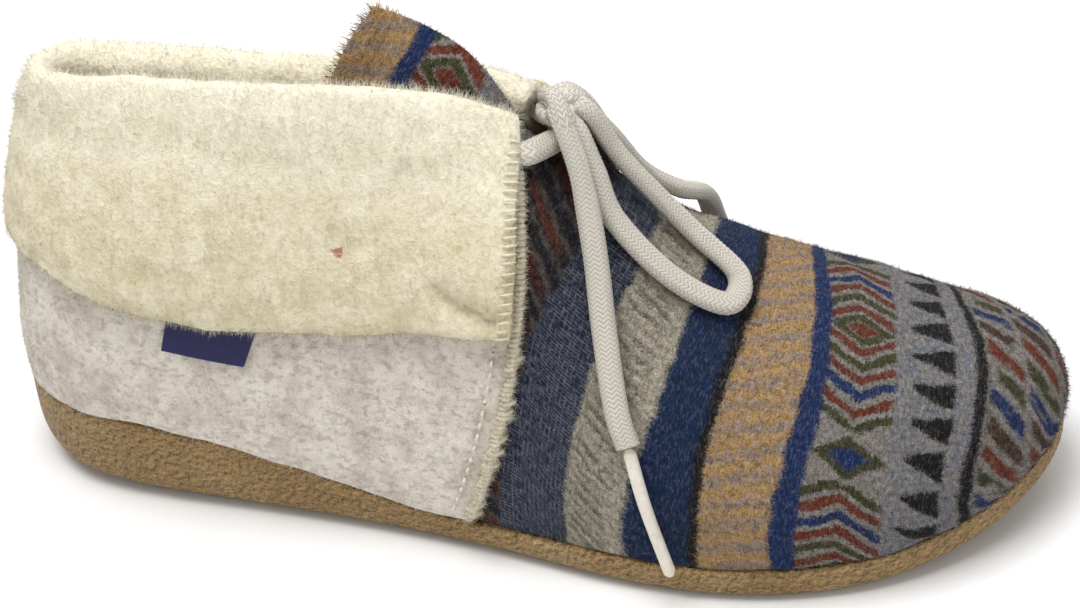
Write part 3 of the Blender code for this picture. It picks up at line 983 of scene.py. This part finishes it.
@dataclass
class Tube:
    """A tube swept along a line, oval in section, with a weave map along and around it."""

    line: list[Vector]
    width: float
    thick: float
    sides: int = 24
    relief: float = 0.0
    stitch: float = 1.1
    columns: int = 16
    taper: float = 0.0
    facing: BVHTree | None = None

    def frames(self) -> list[tuple[Vector, Vector]]:
        """The section's wide and thick directions at each point."""
        rises: list[Vector] = []
        for place in self.line:
            rise = Vector((0, 0, 1))
            if self.facing is not None:
                found = self.facing.find_nearest(place)
                rise = (place - found[0]) if found[3] > 0.5 * MM else found[1]
            rises.append(rise.normalized())
        found_frames = []
        reach = 6
        for step in range(len(self.line)):
            ahead = self.line[min(step + 1, len(self.line) - 1)]
            behind = self.line[max(step - 1, 0)]
            run = (ahead - behind).normalized()
            near = rises[max(0, step - reach) : step + reach + 1]
            rise = sum(near, Vector())
            wide = run.cross(rise)
            if wide.length < 1e-6:
                wide = run.orthogonal()
            wide.normalize()
            found_frames.append((wide, wide.cross(run).normalized()))
        return found_frames

    def plait(self, along: float, around: float) -> float:
        """Height of the herringbone relief, 0 to 1."""
        column = around * self.columns
        side = abs(column % 2 - 1)
        phase = along / self.stitch + side * 0.9
        return 0.5 + 0.5 * math.sin(math.tau * phase)

    def mesh(self) -> bpy.types.Mesh:
        """Builds the tube with closed ends.

        Returns:
            The mesh.
        """
        shape = bmesh.new()
        layer = shape.loops.layers.uv.new("weave")
        run = [r / MM for r in run_of(self.line)]
        total = run[-1]
        rings: list[list[bmesh.types.BMVert]] = []
        for (wide, thick), place, along in zip(self.frames(), self.line, run):
            ring = []
            end = min(along, total - along)
            size = 1 - self.taper * max(0.0, 1 - end / (self.width * 0.5)) ** 2
            for side in range(self.sides):
                around = side / self.sides
                turn = around * math.tau
                lift = 1 + self.relief * (self.plait(along, around) - 0.5)
                arm = wide * math.cos(turn) * self.width + thick * math.sin(turn) * self.thick
                ring.append(shape.verts.new(place + arm * (MM / 2 * lift * size)))
            rings.append(ring)
        for step, (one, two) in enumerate(zip(rings, rings[1:])):
            for side in range(self.sides):
                after = (side + 1) % self.sides
                face = shape.faces.new((one[side], one[after], two[after], two[side]))
                spots = ((step, side), (step, side + 1), (step + 1, side + 1), (step + 1, side))
                for loop, (row, turn) in zip(face.loops, spots):
                    loop[layer].uv = (run[row] / WEAVE_SCALE, turn / self.sides)
        for ring in (rings[0], rings[-1]):
            shape.faces.new(ring)
        bmesh.ops.recalc_face_normals(shape, faces=shape.faces)
        return mesh_of(shape)


def joined(meshes: Sequence[bpy.types.Mesh]) -> bpy.types.Mesh:
    """Several meshes in one, which are removed."""
    shape = bmesh.new()
    for mesh in meshes:
        shape.from_mesh(mesh)
        bpy.data.meshes.remove(mesh)
    return mesh_of(shape)


# The studio


@dataclass
class Studio:
    """Camera at the photograph's angle, pale floor and soft light. Angles in degrees."""

    azimuth: float = 17.158
    elevation: float = 36.139
    roll: float = -5.413
    distance: float = 0.700
    target: Row = (0.0, 0.0, 45.0)
    focal: float = 2860.0
    frame_width: float = 1080.0
    frame_height: float = 608.0
    centre: tuple[float, float] = (521.73, 306.26)
    sensor: float = 36.0
    floor: float = 3.0

    def camera(self) -> None:
        """Places the camera."""
        turn = math.radians(self.azimuth)
        rise = math.radians(self.elevation)
        tilt = math.radians(self.roll)
        back = Vector(
            (math.sin(turn) * math.cos(rise), -math.cos(turn) * math.cos(rise), math.sin(rise))
        )
        right = Vector((math.cos(turn), math.sin(turn), 0))
        up = Vector(
            (-math.sin(rise) * math.sin(turn), math.sin(rise) * math.cos(turn), math.cos(rise))
        )
        across = right * math.cos(tilt) + up * math.sin(tilt)
        over = up * math.cos(tilt) - right * math.sin(tilt)
        lens = bpy.data.cameras.new("camera")
        lens.sensor_width = self.sensor
        lens.lens = self.focal * self.sensor / self.frame_width
        lens.shift_x = (self.frame_width / 2 - self.centre[0]) / self.frame_width
        lens.shift_y = (self.centre[1] - self.frame_height / 2) / self.frame_width
        lens.clip_start = 0.01
        holder = bpy.data.objects.new("camera", lens)
        place = Vector(self.target) * MM + back * self.distance
        holder.matrix_world = Matrix.Translation(place) @ Matrix(
            (across, over, back)
        ).transposed().to_4x4()
        bpy.context.scene.collection.objects.link(holder)
        bpy.context.scene.camera = holder

    def light(self, name: str, place: Row, size: float, power: float) -> None:
        """One soft light that faces the slipper, its place in metres."""
        lamp = bpy.data.lights.new(name, "AREA")
        lamp.size = size
        lamp.energy = power
        holder = bpy.data.objects.new(name, lamp)
        aim = Vector((0, 0, 0.05)) - Vector(place)
        holder.matrix_world = Matrix.Translation(place) @ aim.to_track_quat(
            "-Z", "Y"
        ).to_matrix().to_4x4()
        bpy.context.scene.collection.objects.link(holder)

    def build(self, finishes: Finishes) -> None:
        """Makes the lights, the sky and the floor."""
        self.light("key", (-0.2, -0.1, 1.15), 0.7, 12.0)
        self.light("fill", (0.75, -0.7, 0.5), 0.9, 1.8)
        self.light("back", (0.1, 0.8, 0.8), 0.9, 3.0)
        world = bpy.data.worlds.new("sky")
        world.use_nodes = True
        sky = world.node_tree.nodes["Background"]
        sky.inputs[0].default_value = srgb(250, 250, 250)
        sky.inputs[1].default_value = 0.42
        bpy.context.scene.world = world
        bpy.context.scene.view_settings.view_transform = "Standard"
        shape = bmesh.new()
        bmesh.ops.create_grid(shape, x_segments=4, y_segments=4, size=self.floor / 2)
        mesh = mesh_of(shape)
        mesh.materials.append(finishes.paper)
        floor = bpy.data.objects.new("floor", mesh)
        bpy.context.scene.collection.objects.link(floor)
        floor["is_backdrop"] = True


# The lace


@dataclass
class Lacing:
    """The tied lace: crossing, two ends, two loops, knot and sleeves. Routes in millimetres."""

    width: float = 5.8
    thick: float = 4.3
    sleeve_width: float = 3.2
    spacing: float = 0.32
    bar: tuple[Row, ...] = (
        (4.8, -15.5, 98.6), (7.2, -14.2, 99.4), (10.2, -12.2, 99.4), (14.8, 0.0, 97.0),
        (12.3, 9.0, 97.0), (8.2, 12.6, 97.4), (5.0, 14.0, 97.6),
    )
    end_near: tuple[Row, ...] = (
        (13.6, -4.6, 106.2), (16.7, -7.9, 103.2), (21.2, -13.2, 93.4), (25.3, -21.2, 78.7),
        (28.6, -30.4, 63.7), (32.8, -40.6, 48.8), (36.1, -44.7, 41.0),
    )
    loop_near: tuple[Row, ...] = (
        (14.6, 0.2, 104.6), (20.1, 0.9, 102.6), (27.5, 1.6, 89.5), (43.0, 0.6, 72.0),
        (55.3, -5.2, 63.8), (54.2, -14.6, 62.2), (41.5, -15.1, 69.0), (28.2, -11.4, 81.0),
        (22.8, -7.4, 92.0), (18.8, -4.5, 100.4), (14.6, -2.6, 103.4),
    )
    end_far: tuple[Row, ...] = (
        (14.4, 0.8, 102.2), (18.5, 4.4, 100.4), (23.2, 9.4, 91.0), (28.8, 14.6, 78.2),
        (36.4, 19.5, 70.1), (40.3, 30.2, 61.6), (40.9, 40.2, 46.4),
    )
    loop_far: tuple[Row, ...] = (
        (12.8, 1.0, 103.8), (14.0, 6.4, 104.0), (17.2, 12.6, 96.4), (21.0, 19.0, 81.8),
        (23.3, 28.0, 68.8), (22.6, 32.0, 62.6), (19.6, 33.8, 60.0), (16.6, 31.6, 63.8),
        (16.0, 24.4, 79.0), (14.2, 16.6, 93.2), (12.0, 9.0, 101.4), (12.6, 1.2, 103.6),
    )
    aglet_near: tuple[Row, ...] = ((36.25, -44.9, 40.5), (40.6, -49.8, 27.6), (46.6, -53.3, 10.5))
    aglet_far: tuple[Row, ...] = ((40.95, 40.5, 45.9), (41.0, 44.8, 34.0), (41.0, 47.2, 21.4))
    knot_centre: Row = (13.5, -1.0, 103.6)
    core: Row = (4.6, 4.6, 4.0)
    arch: tuple[Row, ...] = (
        (12.6, 1.4, 101.8), (11.4, 0.2, 106.2), (14.0, -3.4, 107.8), (16.4, -7.0, 104.6),
        (16.6, -5.6, 100.0),
    )
    wrap: tuple[Row, ...] = (
        (13.2, -1.6, 101.4), (11.4, -3.4, 104.4), (15.0, 0.2, 106.4), (17.4, 4.0, 103.0),
        (16.0, 3.2, 100.0),
    )

    def __post_init__(self) -> None:
        """Prepares the surface that the lace faces."""
        self.ground = tree_of("upper")

    def route(self, rows: Sequence[Row]) -> list[Vector]:
        """The smooth line through a route's points."""
        return catmull_rom(in_metres(rows), self.spacing * MM)

    def lace(self, name: str, rows: Sequence[Row], finish: bpy.types.Material) -> bpy.types.Object:
        """One stretch of lace that replaces the CAD node of its name.

        Args:
            name: the CAD node's name.
            rows: its route.
            finish: its material.

        Returns:
            The piece.
        """
        tube = Tube(self.route(rows), self.width, self.thick, 28, 0.1, facing=self.ground)
        made = piece(name + "_braid", tube.mesh(), [finish])
        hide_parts(name)
        return made

    def sleeve(self, name: str, rows: Sequence[Row], finish: bpy.types.Material) -> bpy.types.Object:
        """One smooth end sleeve that replaces the CAD node of its name."""
        tube = Tube(self.route(rows), self.sleeve_width, self.sleeve_width * 0.85, 16, taper=0.55)
        made = piece(name + "_sleeve", tube.mesh(), [finish])
        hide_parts(name)
        return made

    def knot(self, finish: bpy.types.Material) -> bpy.types.Object:
        """The knot: lace wrapped over itself in two tight turns and a crossing."""
        centre = Vector(self.knot_centre)
        core = bmesh.new()
        bmesh.ops.create_uvsphere(core, u_segments=28, v_segments=18, radius=1.0, calc_uvs=True)
        bmesh.ops.transform(
            core,
            matrix=Matrix.Translation(centre * MM) @ Matrix.Diagonal((*(Vector(self.core) * MM), 1)),
            verts=core.verts,
        )
        turns = [mesh_of(core)]
        for layer in turns[0].uv_layers:
            layer.name = "weave"
        for rows in (self.arch, self.wrap):
            line = catmull_rom(in_metres(rows), self.spacing * MM)
            turns.append(Tube(line, self.width, self.thick, 24, 0.1, facing=self.ground).mesh())
        made = piece("lace_knot_wrap", joined(turns), [finish])
        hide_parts("lace_knot")
        return made

    def build(self, finishes: Finishes) -> None:
        """Makes the lace and logs how long each loop and end is."""
        self.lace("lace_bar", self.bar, finishes.braid)
        knot = self.knot(finishes.braid)
        sleeves = {
            "near": self.sleeve("aglet_near", self.aglet_near, finishes.sleeve),
            "far": self.sleeve("aglet_far", self.aglet_far, finishes.sleeve),
        }
        strands = (
            ("lace_loop_near", self.loop_near, "knot", [knot]),
            ("lace_loop_far", self.loop_far, "knot", []),
            ("lace_end_near", self.end_near, "fitting", [sleeves["near"]]),
            ("lace_end_far", self.end_far, "fitting", [sleeves["far"]]),
        )
        for name, rows, end, others in strands:
            made = self.lace(name, rows, finishes.braid)
            line = self.route(rows)
            length = run_of(line)[-1]
            self.width * MM
            [tuple(p) for p in line[::6] + [line[-1]]]
            LOG.info("%s is %.1f mm long", name, length / MM)


# The upper


@dataclass
class VampChart:
    """Flattened places on the vamp: u along the shoe, v down its side, in millimetres."""

    bow: tuple[Row, ...] = (
        (27.0, 0.0, 0.0102), (44.0, 0.0, 0.0044), (57.0, 0.0, 0.0042),
        (72.0, -17.0, 0.0062), (93.0, -25.0, 0.0045), (112.0, -12.0, 0.0110),
    )
    reach: float = 50.0
    first: float = -24.0
    last: float = 129.0
    step: float = 3.0
    turn: float = 4.0
    most: float = 112.0
    longest: float = 6.4
    height: float = 18.0
    rows: list[list[float]] = field(default_factory=list)
    middles: list[float] = field(default_factory=list)

    def __post_init__(self) -> None:
        """Measures the arc length round each section of the upper."""
        ground = tree_of("upper")
        far = 200.0
        count = int(self.most / self.turn)
        middle = 0.0
        for section in range(int((self.last - self.first) / self.step) + 1):
            x = self.first + section * self.step
            hits = [
                ground.ray_cast(Vector((x, s * far, self.height)) * MM, Vector((0, -s, 0)))[0]
                for s in (-1, 1)
            ]
            if all(hit is not None for hit in hits):
                middle = (hits[0].y + hits[1].y) / 2 / MM
            spots: list[Vector] = []
            for k in range(-count, count + 1):
                angle = math.radians(k * self.turn)
                out = Vector((0, math.sin(angle), math.cos(angle)))
                core = Vector((x, middle, self.height))
                hit = ground.ray_cast((core + out * far) * MM, -out)[0]
                spots.append(hit / MM if hit is not None else core)
            lengths = [0.0] * (2 * count + 1)
            for k in range(count + 1, 2 * count + 1):
                lengths[k] = lengths[k - 1] - min((spots[k] - spots[k - 1]).length, self.longest)
            for k in range(count - 1, -1, -1):
                lengths[k] = lengths[k + 1] + min((spots[k] - spots[k + 1]).length, self.longest)
            self.rows.append(lengths)
            self.middles.append(middle)

    def bow_at(self, x: float) -> tuple[float, float]:
        """Apex and strength of the bands' bow at a place along the shoe."""
        low = self.bow[0]
        for row in self.bow:
            if row[0] >= x:
                share = 0.0 if row is low else (x - low[0]) / (row[0] - low[0])
                return low[1] + (row[1] - low[1]) * share, low[2] + (row[2] - low[2]) * share
            low = row
        return low[1], low[2]

    def at(self, place: Vector) -> tuple[float, float]:
        """The chart's u and v of a place in metres.

        Args:
            place: a point on the upper.

        Returns:
            Along and across, in millimetres.
        """
        x, y, z = place / MM
        apex, strength = self.bow_at(x)
        away = (y - apex) / self.reach
        u = x + strength * self.reach**2 * (math.sqrt(1 + 2 * away * away) - 1)
        spot = min(max((x - self.first) / self.step, 0.0), len(self.rows) - 1.001)
        low = int(spot)
        share = spot - low
        middle = self.middles[low] + (self.middles[low + 1] - self.middles[low]) * share
        angle = math.degrees(math.atan2(y - middle, z - self.height))
        count = int(self.most / self.turn)
        turn = min(max(angle / self.turn + count, 0.0), 2 * count - 0.001)
        k = int(turn)
        part = turn - k
        ends = [
            row[k] + (row[k + 1] - row[k]) * part for row in (self.rows[low], self.rows[low + 1])
        ]
        return u, ends[0] + (ends[1] - ends[0]) * share

    def lay(self, mesh: bpy.types.Mesh) -> None:
        """Writes the chart into a mesh's weave map."""
        spots = [self.at(v.co) for v in mesh.vertices]
        layer = mesh.uv_layers.new(name="weave")
        for loop, datum in zip(mesh.loops, layer.data):
            u, v = spots[loop.vertex_index]
            datum.uv = (u / WEAVE_SCALE, v / WEAVE_SCALE)


@dataclass
class Upper:
    """Vamp and quarters in one shell, with their nap. The quarter's edge is x over z."""

    edge: tuple[tuple[float, float], ...] = (
        (9.9, -4.9), (19.3, -1.1), (29.6, 2.5), (40.5, 5.6), (51.4, 8.0), (62.0, 9.5),
        (72.0, 10.1), (81.0, 9.9), (88.6, 9.1), (94.7, 7.9), (107.0, 5.0),
    )
    levels: int = 2
    creases: tuple[Crease, ...] = (
        Crease(((-8.0, -42.0, 14.0), (-3.0, -42.0, 32.0), (2.0, -38.0, 52.0)), 1.6, 0.7),
        Crease(((-8.0, 38.0, 14.0), (-3.0, 38.0, 32.0), (2.0, 35.0, 52.0)), 1.6, 0.7),
        Crease(((-30.0, -40.0, 20.0), (-24.0, -39.0, 44.0)), 5.0, 0.6),
        Crease(((-58.0, -38.0, 16.0), (-52.0, -37.0, 40.0)), 6.0, -0.5),
        Crease(((-92.0, -33.0, 14.0), (-86.0, -32.0, 44.0)), 6.0, 0.5),
        Crease(((24.0, -36.0, 50.0), (34.0, -22.0, 76.0)), 5.0, 0.5),
        Crease(((58.0, -30.0, 48.0), (62.0, 0.0, 62.0), (60.0, 26.0, 50.0)), 6.0, 0.6),
        Crease(((74.0, -34.0, 36.0), (78.0, 0.0, 54.0), (76.0, 30.0, 38.0)), 6.0, -0.4),
    )

    def edge_at(self, z: float) -> float:
        """Where the quarter's front edge lies at a height, both in millimetres."""
        return float(np.interp(z, [row[0] for row in self.edge], [row[1] for row in self.edge]))

    def build(self, finishes: Finishes) -> None:
        """Makes the shell and its two naps."""
        chart = VampChart()
        mesh = subdivided(shape_of("upper"), self.levels, 50.0, 0.75)
        relieve(mesh, (*self.creases, Lumps(11.0, 0.45, 3.0, 0.18)))
        chart.lay(mesh)
        ground = tree_of("upper")
        shell = piece("upper_shell", mesh, [finishes.wool, finishes.felt, finishes.fleece])
        for polygon in mesh.polygons:
            middle = polygon.center / MM
            outward = polygon.normal
            core = Vector((min(middle.x, 84.0), 0.0, min(40.0, middle.z)))
            inner = outward.dot(middle - core) < 0 and middle.z > 16
            if inner:
                polygon.material_index = 2
            elif middle.x < self.edge_at(middle.z) - 0.4:
                polygon.material_index = 1
        del ground
        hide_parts("upper")
        self.nap(shell, finishes)

    def nap(self, shell: bpy.types.Object, finishes: Finishes) -> None:
        """Fibres of the vamp's wool and of the quarters' felt."""
        depth = np.array([row[0] for row in self.edge]) * MM
        edge = np.array([row[1] for row in self.edge]) * MM
        core = np.array((0.0, 0.0, 0.04))

        def outer(place: np.ndarray, face: np.ndarray) -> np.ndarray:
            """Faces of the outside, above the sole."""
            arm = place - core
            arm[:, 0] = 0
            rim = (face[:, 0] > 0.5) & (place[:, 0] > 0.08)
            return ((face * arm).sum(axis=1) > 0) | rim

        def vamp(place: np.ndarray, face: np.ndarray) -> np.ndarray:
            """Outer faces before the quarter's edge."""
            return outer(place, face) & (place[:, 0] > np.interp(place[:, 2], depth, edge))

        def quarter(place: np.ndarray, face: np.ndarray) -> np.ndarray:
            """Outer faces behind the quarter's edge, as far as the cuff."""
            behind = place[:, 0] < np.interp(place[:, 2], depth, edge)
            return outer(place, face) & behind & (place[:, 2] < 0.068)

        wool = Pile(64000, 0.7, 1.9, 0.12, 0.9, 0.3, 11, (0.25, 0.0, -0.2))
        felt = Pile(40000, 0.7, 2.0, 0.11, 0.92, 0.4, 12)
        piece("vamp_nap", wool.grow("vamp_nap", shell.data, vamp), [finishes.wool])
        stray = Pile(5000, 1.8, 4.0, 0.08, 0.72, 0.7, 13)
        piece("vamp_strays", stray.grow("vamp_strays", shell.data, vamp), [finishes.wool])
        piece("quarter_nap", felt.grow("quarter_nap", shell.data, quarter), [finishes.felt])


@dataclass
class Cuff:
    """The turned-down fleece cuff with its nap."""

    levels: int = 2
    folds: tuple[Crease, ...] = (
        Crease(((-10.0, -35.5, 73.5), (-2.0, -37.5, 69.8), (4.0, -38.5, 67.8)), 1.9, 2.9),
        Crease(((-9.0, -34.0, 77.4), (-1.0, -36.0, 74.6), (5.0, -37.0, 72.6)), 2.4, -1.1),
        Crease(((-46.0, -34.0, 60.0), (-40.0, -26.0, 84.0)), 8.0, 0.7),
        Crease(((-88.0, -32.0, 62.0), (-80.0, -24.0, 86.0)), 9.0, -0.6),
        Crease(((-118.0, -24.0, 70.0), (-110.0, -16.0, 96.0)), 8.0, 0.6),
        Crease(((-70.0, 30.0, 62.0), (-62.0, 22.0, 86.0)), 9.0, 0.7),
    )

    def build(self, finishes: Finishes) -> None:
        """Makes the cuff and its fibres."""
        mesh = subdivided(shape_of("cuff"), self.levels, 45.0, 0.85)
        relieve(mesh, (*self.folds, Lumps(7.0, 0.75, 2.4, 0.35)))
        made = piece("cuff_fleece", mesh, [finishes.fleece])
        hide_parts("cuff")

        def every(place: np.ndarray, face: np.ndarray) -> np.ndarray:
            """The whole surface."""
            return np.ones(len(place))

        pile = Pile(65000, 1.2, 3.0, 0.14, 0.88, 0.4, 21, (0.0, 0.0, -0.25))
        piece("cuff_nap", pile.grow("cuff_nap", mesh, every), [finishes.fleece])

        def crest(place: np.ndarray, face: np.ndarray) -> np.ndarray:
            """The rolled top, where the fleece stands off."""
            return (place[:, 2] > 0.098) & (np.abs(face[:, 2]) > 0.15)

        def rim(place: np.ndarray, face: np.ndarray) -> np.ndarray:
            """The cut lower rim, where the fleece hangs over the quarters."""
            return (place[:, 2] < 0.072) & (face[:, 2] < -0.15)

        tufts = Pile(30000, 1.4, 4.4, 0.065, 0.58, 0.8, 22)
        fringe = Pile(16000, 1.0, 3.0, 0.07, 0.72, 0.6, 23, (0.1, -0.1, -0.9))
        piece("cuff_tufts", tufts.grow("cuff_tufts", mesh, crest), [finishes.fleece])
        piece("cuff_fringe", fringe.grow("cuff_fringe", mesh, rim), [finishes.fleece])


@dataclass
class Tongue:
    """The banded tongue that flaps out of the throat, with a raw fringed end."""

    far_end: Row = (-32.0, 9.0, 123.0)
    near_end: Row = (-49.3, -3.9, 90.0)
    offset: float = 62.0

    def chart(self, mesh: bpy.types.Mesh) -> None:
        """Weave map: distance from the raw end, and down it."""
        far = Vector(self.far_end)
        down = (Vector(self.near_end) - far).normalized()
        forward = Vector((1, 0, 0)) - down * down.x
        forward.normalize()
        layer = mesh.uv_layers.new(name="weave")
        for loop, datum in zip(mesh.loops, layer.data):
            away = mesh.vertices[loop.vertex_index].co / MM - far
            spot = (self.offset + away.dot(forward), away.dot(down))
            datum.uv = (spot[0] / WEAVE_SCALE, spot[1] / WEAVE_SCALE)

    def build(self, finishes: Finishes) -> None:
        """Makes the tongue, its fibres and its fringe."""
        mesh = subdivided(shape_of("tongue"), 3, 60.0, 0.5)
        relieve(mesh, (Lumps(9.0, 0.35, 2.5, 0.15),))
        self.chart(mesh)
        made = piece("tongue_cloth", mesh, [finishes.wool])
        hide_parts("tongue")

        def every(place: np.ndarray, face: np.ndarray) -> np.ndarray:
            """The whole surface."""
            return np.ones(len(place))

        def raw(place: np.ndarray, face: np.ndarray) -> np.ndarray:
            """The narrow face of the raw end."""
            far = np.array(self.far_end) * MM
            near = np.array(self.near_end) * MM
            run = near - far
            share = ((place - far) @ run / (run @ run)).clip(0, 1)
            spot = far + share[:, None] * run
            return np.linalg.norm(place - spot, axis=1) < 0.0065

        pile = Pile(16000, 0.7, 1.8, 0.12, 0.9, 0.3, 31)
        fringe = Pile(1100, 1.6, 3.8, 0.2, 0.5, 0.3, 32, (-0.9, -0.3, -0.1))
        piece("tongue_nap", pile.grow("tongue_nap", mesh, every), [finishes.wool])
        piece("tongue_fringe", fringe.grow("tongue_fringe", mesh, raw), [finishes.wool])


@dataclass
class Bottom:
    """Outsole and insole."""

    def build(self, finishes: Finishes) -> None:
        """Makes both."""
        sole = subdivided(shape_of("outsole"), 2, 50.0, 0.8)
        made = piece("outsole_skin", sole, [finishes.rubber])
        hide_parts("outsole")
        bed = subdivided(shape_of("insole"), 1, 50.0, 0.6)
        made = piece("insole_fleece", bed, [finishes.fleece])
        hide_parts("insole")


@dataclass
class Stitching:
    """Overlocked front edges of the quarters, their stitch lines and the cuff's whip stitches."""

    front: tuple[Row, ...] = (
        (-3.8, -42.0, 12.6), (-1.1, -42.4, 19.3), (2.5, -42.0, 29.6), (5.6, -40.5, 40.5),
        (8.0, -37.9, 51.4), (9.5, -34.3, 62.0), (10.1, -29.9, 72.0), (9.9, -25.2, 81.0),
        (9.1, -20.1, 88.6), (7.9, -14.8, 94.7),
    )
    front_far: tuple[Row, ...] = (
        (-3.8, 37.2, 12.6), (-1.1, 37.7, 19.2), (2.4, 37.6, 29.5), (5.4, 36.6, 40.4),
        (7.7, 34.5, 51.4), (9.2, 31.6, 62.1), (9.8, 28.0, 72.0), (9.5, 23.9, 80.9),
        (8.7, 19.3, 88.3), (7.5, 14.4, 93.8),
    )
    cuff_edge: tuple[Row, ...] = (
        (7.6, -13.9, 102.5), (7.9, -19.5, 97.6), (8.8, -26.0, 89.7), (9.2, -31.1, 81.2),
        (8.9, -35.4, 72.6), (7.9, -38.6, 64.7),
    )
    cuff_edge_far: tuple[Row, ...] = (
        (6.5, 13.9, 100.8), (6.8, 20.0, 95.7), (8.0, 26.3, 87.3), (8.4, 30.8, 78.5),
        (8.0, 34.5, 69.5), (6.9, 36.8, 61.3),
    )
    yarn: float = 0.8
    pitch: float = 1.25
    whip_pitch: float = 2.2
    seam_back: float = 6.0

    def stitch(self, points: Sequence[Vector], yarn: float) -> bpy.types.Mesh:
        """One stitch of yarn through points in metres."""
        line = catmull_rom(points, 0.8 * MM)
        return Tube(line, yarn, yarn, 6, taper=0.6).mesh()

    def on(self, ground: BVHTree, place: Vector, lift: float) -> Vector:
        """The nearest surface point, lifted off it by millimetres."""
        spot, normal, _, _ = ground.find_nearest(place)
        return spot + normal * (lift * MM)

    def overlock(self, rows: Sequence[Row], seed: float) -> list[bpy.types.Mesh]:
        """A fuzzy cord of looped yarn along a quarter's front edge."""
        ground = tree_of("upper")
        line = catmull_rom(in_metres(rows), self.pitch * MM)
        meshes: list[bpy.types.Mesh] = []
        for step, place in enumerate(line):
            wobble = noise.noise(Vector((step * 0.7, seed, 0.0)))
            jitter = noise.noise(Vector((step * 1.9, seed, 5.0)))
            front = place + Vector((0.9 + 0.6 * wobble, 0, 0)) * MM
            back = place - Vector((2.6 + 0.8 * jitter, 0, 0.7)) * MM
            start = self.on(ground, front, 0.1)
            peak = self.on(ground, (front + back) / 2, 0.7 + 0.3 * wobble)
            end = self.on(ground, back, 0.15)
            meshes.append(self.stitch((start, peak, end), 1.45 + 0.4 * jitter))
        return meshes

    def seam(self, rows: Sequence[Row]) -> list[bpy.types.Mesh]:
        """Running stitches behind a quarter's front edge."""
        ground = tree_of("upper")
        line = catmull_rom(in_metres(rows), 0.4 * MM)
        shifted = [place - Vector((self.seam_back, 0, 0)) * MM for place in line]
        run = run_of(shifted)
        meshes: list[bpy.types.Mesh] = []
        start = 0.0
        while start + 2.3 * MM < run[-1]:
            inside = [p for p, r in zip(shifted, run) if start <= r <= start + 2.3 * MM]
            if len(inside) >= 3:
                ends = (inside[0], inside[len(inside) // 2], inside[-1])
                lifts = (-0.15, 0.22, -0.15)
                spots = [self.on(ground, place, lift) for place, lift in zip(ends, lifts)]
                meshes.append(self.stitch(spots, self.yarn))
            start += 3.4 * MM
        return meshes

    def whip(self, rows: Sequence[Row], seed: float) -> list[bpy.types.Mesh]:
        """Whip stitches round the cuff's front edge."""
        ground = tree_of("cuff")
        line = catmull_rom(in_metres(rows), self.whip_pitch * MM)
        meshes: list[bpy.types.Mesh] = []
        for step, place in enumerate(line):
            tilt = noise.noise(Vector((step * 1.3, seed, 0.0)))
            back = place - Vector((3.4 + 0.6 * tilt, 0, 0.8)) * MM
            spots = (
                self.on(ground, place + Vector((0.6, 0, 0)) * MM, 0.2),
                self.on(ground, (place + back) / 2, 0.6),
                self.on(ground, back, 0.1),
            )
            meshes.append(self.stitch(spots, 0.6))
        return meshes

    def build(self, finishes: Finishes) -> None:
        """Makes the three kinds of stitches on both sides."""
        overlock = self.overlock(self.front, 1.0) + self.overlock(self.front_far, 2.0)
        edge = piece("quarter_overlock", joined(overlock), [finishes.yarn])

        def every(place: np.ndarray, face: np.ndarray) -> np.ndarray:
            """The whole surface."""
            return np.ones(len(place))

        fuzz = Pile(16000, 0.8, 2.2, 0.12, 0.75, 0.5, 41).grow("edge_fuzz", edge.data, every)
        piece("quarter_edge_fuzz", fuzz, [finishes.yarn])
        seam = self.seam(self.front[:6]) + self.seam(self.front_far[:6])
        piece("quarter_seam", joined(seam), [finishes.yarn])
        whip = self.whip(self.cuff_edge, 3.0) + self.whip(self.cuff_edge_far, 4.0)
        piece("cuff_whip", joined(whip), [finishes.fleece])


@dataclass
class SideTab:
    """The plain ribbon tab tucked under the cuff, on the lateral side."""

    corners: tuple[Row, ...] = (
        (-56.4, -33.1, 56.2), (-79.2, -32.4, 57.4), (-81.2, -34.8, 48.6), (-60.0, -35.5, 46.6),
    )
    thick: float = 0.9
    lanes: int = 14

    def build(self, finishes: Finishes) -> None:
        """Makes the tab as a bowed ribbon with bevelled edges."""
        shape = bmesh.new()
        corners = [shape.verts.new(Vector(row) * MM) for row in self.corners]
        shape.faces.new(corners)
        bmesh.ops.subdivide_edges(
            shape, edges=shape.edges[:], cuts=self.lanes, use_grid_fill=True
        )
        left = Vector(self.corners[1]).x
        right = Vector(self.corners[0]).x
        for vertex in shape.verts:
            share = (vertex.co.x / MM - left) / (right - left)
            vertex.co.y -= 0.35 * MM * math.sin(math.pi * min(max(share, 0.0), 1.0))
        bmesh.ops.recalc_face_normals(shape, faces=shape.faces)
        bmesh.ops.solidify(shape, geom=shape.faces[:], thickness=self.thick * MM)
        bmesh.ops.recalc_face_normals(shape, faces=shape.faces)
        rim = [e for e in shape.edges if e.calc_face_angle(0.0) > math.radians(50)]
        bmesh.ops.bevel(
            shape, geom=rim, offset=0.25 * MM, segments=2, profile=0.5, affect="EDGES", material=-1
        )
        made = piece("side_tab_ribbon", mesh_of(shape), [finishes.ribbon])
        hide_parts("side_tab")


def main() -> None:
    """Builds the camera, the lace, the slipper and its studio, and reports each piece."""
    logging.basicConfig(level=logging.INFO, format="%(message)s")
    finishes = Finishes()
    studio = Studio()
    studio.camera()
    assemblies = (Lacing(), Bottom(), Upper(), Cuff(), Tongue(), Stitching(), SideTab())
    for assembly in assemblies:
        assembly.build(finishes)
        LOG.info("%s built", type(assembly).__name__)
    studio.build(finishes)
    for made in sorted(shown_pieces(), key=lambda each: each.name):
        if made.type == "MESH":
            faces = sum(len(p.vertices) - 2 for p in made.data.polygons)
            LOG.info("%s: %d triangles", made.name, faces)


if __name__ == "__main__":
    main()
